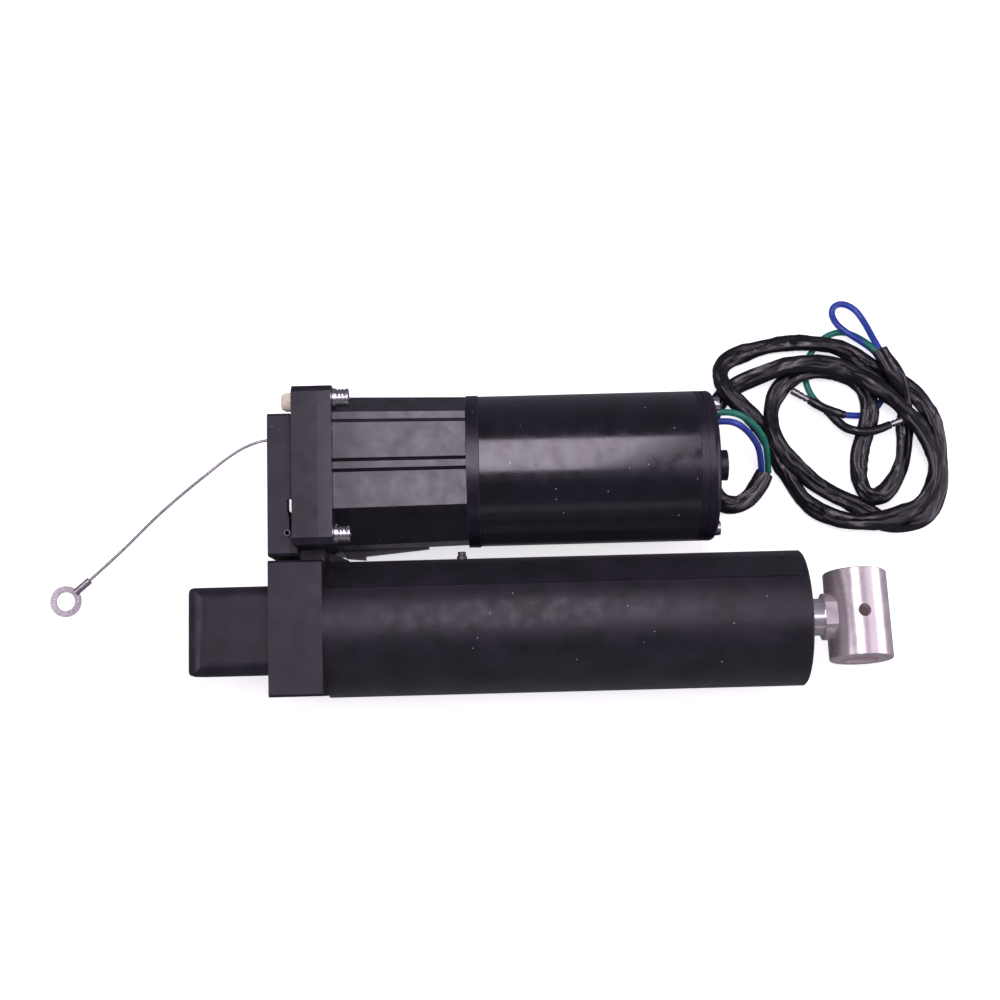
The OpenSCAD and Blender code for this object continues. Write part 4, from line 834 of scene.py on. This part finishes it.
class TRIMUNIT_OT_castings(bpy.types.Operator):
    """Manifold block, valve body and reservoir, with their edges rounded."""

    bl_idname = "trimunit.castings"
    bl_label = "Castings"

    def lug_corners(self):
        """Wedges that take off the two nose corners of the lug."""
        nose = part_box("manifold_block")[0].x / MM
        out, near = LUG_HALF + 2, LUG_HALF - LUG_CORNER
        cutters = []
        for side in (-1, 1):
            outline = [
                (nose - 2, side * near), (nose, side * near),
                (nose + LUG_CORNER * LUG_SHARE, side * (LUG_HALF - LUG_CORNER * LUG_SHARE)),
                (nose + LUG_CORNER, side * LUG_HALF), (nose + LUG_CORNER, side * out),
                (nose - 2, side * out),
            ]
            cutters.append(skinned("lug_corner", [
                [(x * MM, y * MM, z * MM) for x, y in outline] for z in (-30, 30)]))
        return cutters

    def execute(self, context):
        edge = context.scene.trimunit_sizes.casting_edge
        # The rounded edges take the lighter paint, a painted highlight along the edges
        painted_highlight = FINISH["painted_highlight"]
        dressed("manifold_block", FINISH["casting"], edge,
                cutters=self.lug_corners(), painted_highlight=painted_highlight)
        dressed("valve_body", FINISH["casting"], edge * 0.8, painted_highlight=painted_highlight)
        dressed("reservoir", FINISH["reservoir"], edge * 0.8, painted_highlight=painted_highlight)
        return {"FINISHED"}


class TRIMUNIT_OT_ram(bpy.types.Operator):
    """Cylinder tube, gland, rod, rod eye and pivot bushes."""

    bl_idname = "trimunit.ram"
    bl_label = "Ram"

    def execute(self, context):
        edge = context.scene.trimunit_sizes.machined_edge
        # The tube's rounded edges take the lighter paint, a painted highlight
        dressed("cylinder_tube", FINISH["tube"], edge * 2, painted_highlight=FINISH["painted_highlight"])
        dressed("cylinder_gland", FINISH["dark_steel"], edge)
        dressed("rod_eye", FINISH["nickel"], edge)
        dressed("piston_rod", FINISH["rod"], edge)
        dressed("lower_pivot_bushes", FINISH["bush"], edge)
        return {"FINISHED"}


class TRIMUNIT_OT_motor(bpy.types.Operator):
    """Motor can, front ring, end cap and wire grommet."""

    bl_idname = "trimunit.motor"
    bl_label = "Motor"

    def execute(self, context):
        edge = context.scene.trimunit_sizes.machined_edge
        dressed("motor_can", FINISH["motor"], edge)
        # The rounded edges of the ring and the cap take the lighter paint, a painted highlight
        dressed("motor_front_ring", FINISH["cap"], edge * 1.6, painted_highlight=FINISH["painted_highlight"])
        dressed("motor_end_cap", FINISH["cap"], edge, painted_highlight=FINISH["painted_highlight"])
        dressed("wire_grommet", FINISH["rubber"], edge * 2)
        return {"FINISHED"}


class TRIMUNIT_OT_fasteners(bpy.types.Operator):
    """Bolts, washers, plugs and screws that show."""

    bl_idname = "trimunit.fasteners"
    bl_label = "Fasteners"

    def head_grooves(self):
        """Rings that are cut round the heads of the reservoir's bolts."""
        low, high = (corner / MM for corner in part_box("reservoir_bolts"))
        inner, outer = HEAD_R - GROOVE_DEPTH, HEAD_R + 1
        profile = [(0, inner), (-0.35, outer), (0.95, outer), (0.6, inner), (0, inner)]
        rings = []
        for y in (low.y + HEAD_R, high.y - HEAD_R):
            for z in (low.z + HEAD_R, high.z - HEAD_R):
                for back in HEAD_GROOVES:
                    start = (high.x - back, y, z)
                    rings.append(turned("groove", profile, start, (1, 0, 0), closed=False))
        return [join_all(rings, "grooves")]

    def execute(self, context):
        edge = context.scene.trimunit_sizes.machined_edge
        dressed("reservoir_bolts", FINISH["steel"], edge * 0.6, cutters=self.head_grooves())
        for node, finish in (
            ("spring_washers", "steel"), ("through_bolts", "steel"),
            ("valve_body_screws", "steel"), ("filler_plug", "cream"),
            ("bleed_plug", "dark_steel"), ("release_screw", "steel"),
            ("spool_plug", "dark_steel"), ("roll_pin", "dark_steel"), ("lead_ferrule", "tin"),
        ):
            dressed(node, FINISH[finish], edge)
        return {"FINISHED"}


class TRIMUNIT_OT_inner_pieces(bpy.types.Operator):
    """Finishes of the pieces inside the housings."""

    bl_idname = "trimunit.inner_pieces"
    bl_label = "Inner Pieces"

    def execute(self, context):
        finishes = {
            "steel": ("piston_nut", "shuttle_spool", "pump_plate", "pump_screws", "drive_gear",
                      "idler_gear", "motor_bearings", "armature_shaft"),
            "aluminium": ("free_piston", "piston", "pump_body"),
            "dark_steel": ("drive_coupling",),
            "laminate": ("armature_core",),
            "copper": ("armature_windings", "commutator"),
            "brass": ("relief_valves", "brush_springs"),
            "rubber": ("gland_o_ring", "rod_seal", "rod_wiper", "piston_seal", "reservoir_seal"),
            "mesh": ("oil_filter",),
            "ferrite": ("motor_magnets",),
            "phenolic": ("brush_holder",),
            "carbon": ("brushes",),
        }
        for finish, nodes in finishes.items():
            for node in nodes:
                paint(NODES[node], FINISH[finish])
        return {"FINISHED"}


class TRIMUNIT_PT_panel(bpy.types.Panel):
    """Steps of the dressing, in order."""

    bl_idname = "TRIMUNIT_PT_panel"
    bl_label = "Trim Unit"
    bl_space_type = "VIEW_3D"
    bl_region_type = "UI"
    bl_category = "Trim Unit"

    def draw(self, context):
        for group in (context.scene.trimunit_sizes, context.scene.trimunit_colours):
            for name in group.bl_rna.properties.keys():
                if name not in ("rna_type", "name"):
                    self.layout.prop(group, name)
        for step in STEPS:
            self.layout.operator(step.bl_idname)


STEPS = (
    TRIMUNIT_OT_stage, TRIMUNIT_OT_wiring, TRIMUNIT_OT_castings, TRIMUNIT_OT_ram,
    TRIMUNIT_OT_motor, TRIMUNIT_OT_fasteners, TRIMUNIT_OT_inner_pieces,
)
CLASSES = (TRIMUNIT_PG_sizes, TRIMUNIT_PG_colours) + STEPS + (TRIMUNIT_PT_panel,)


def register():
    for cls in CLASSES:
        bpy.utils.register_class(cls)
    bpy.types.Scene.trimunit_sizes = bpy.props.PointerProperty(type=TRIMUNIT_PG_sizes)
    bpy.types.Scene.trimunit_colours = bpy.props.PointerProperty(type=TRIMUNIT_PG_colours)


def unregister():
    del bpy.types.Scene.trimunit_colours
    del bpy.types.Scene.trimunit_sizes
    for cls in reversed(CLASSES):
        bpy.utils.unregister_class(cls)


def main():
    register()
    bpy.ops.trimunit.stage()
    bpy.ops.trimunit.wiring()
    bpy.ops.trimunit.castings()
    bpy.ops.trimunit.ram()
    bpy.ops.trimunit.motor()
    bpy.ops.trimunit.fasteners()
    bpy.ops.trimunit.inner_pieces()


if __name__ == "__main__":
    main()
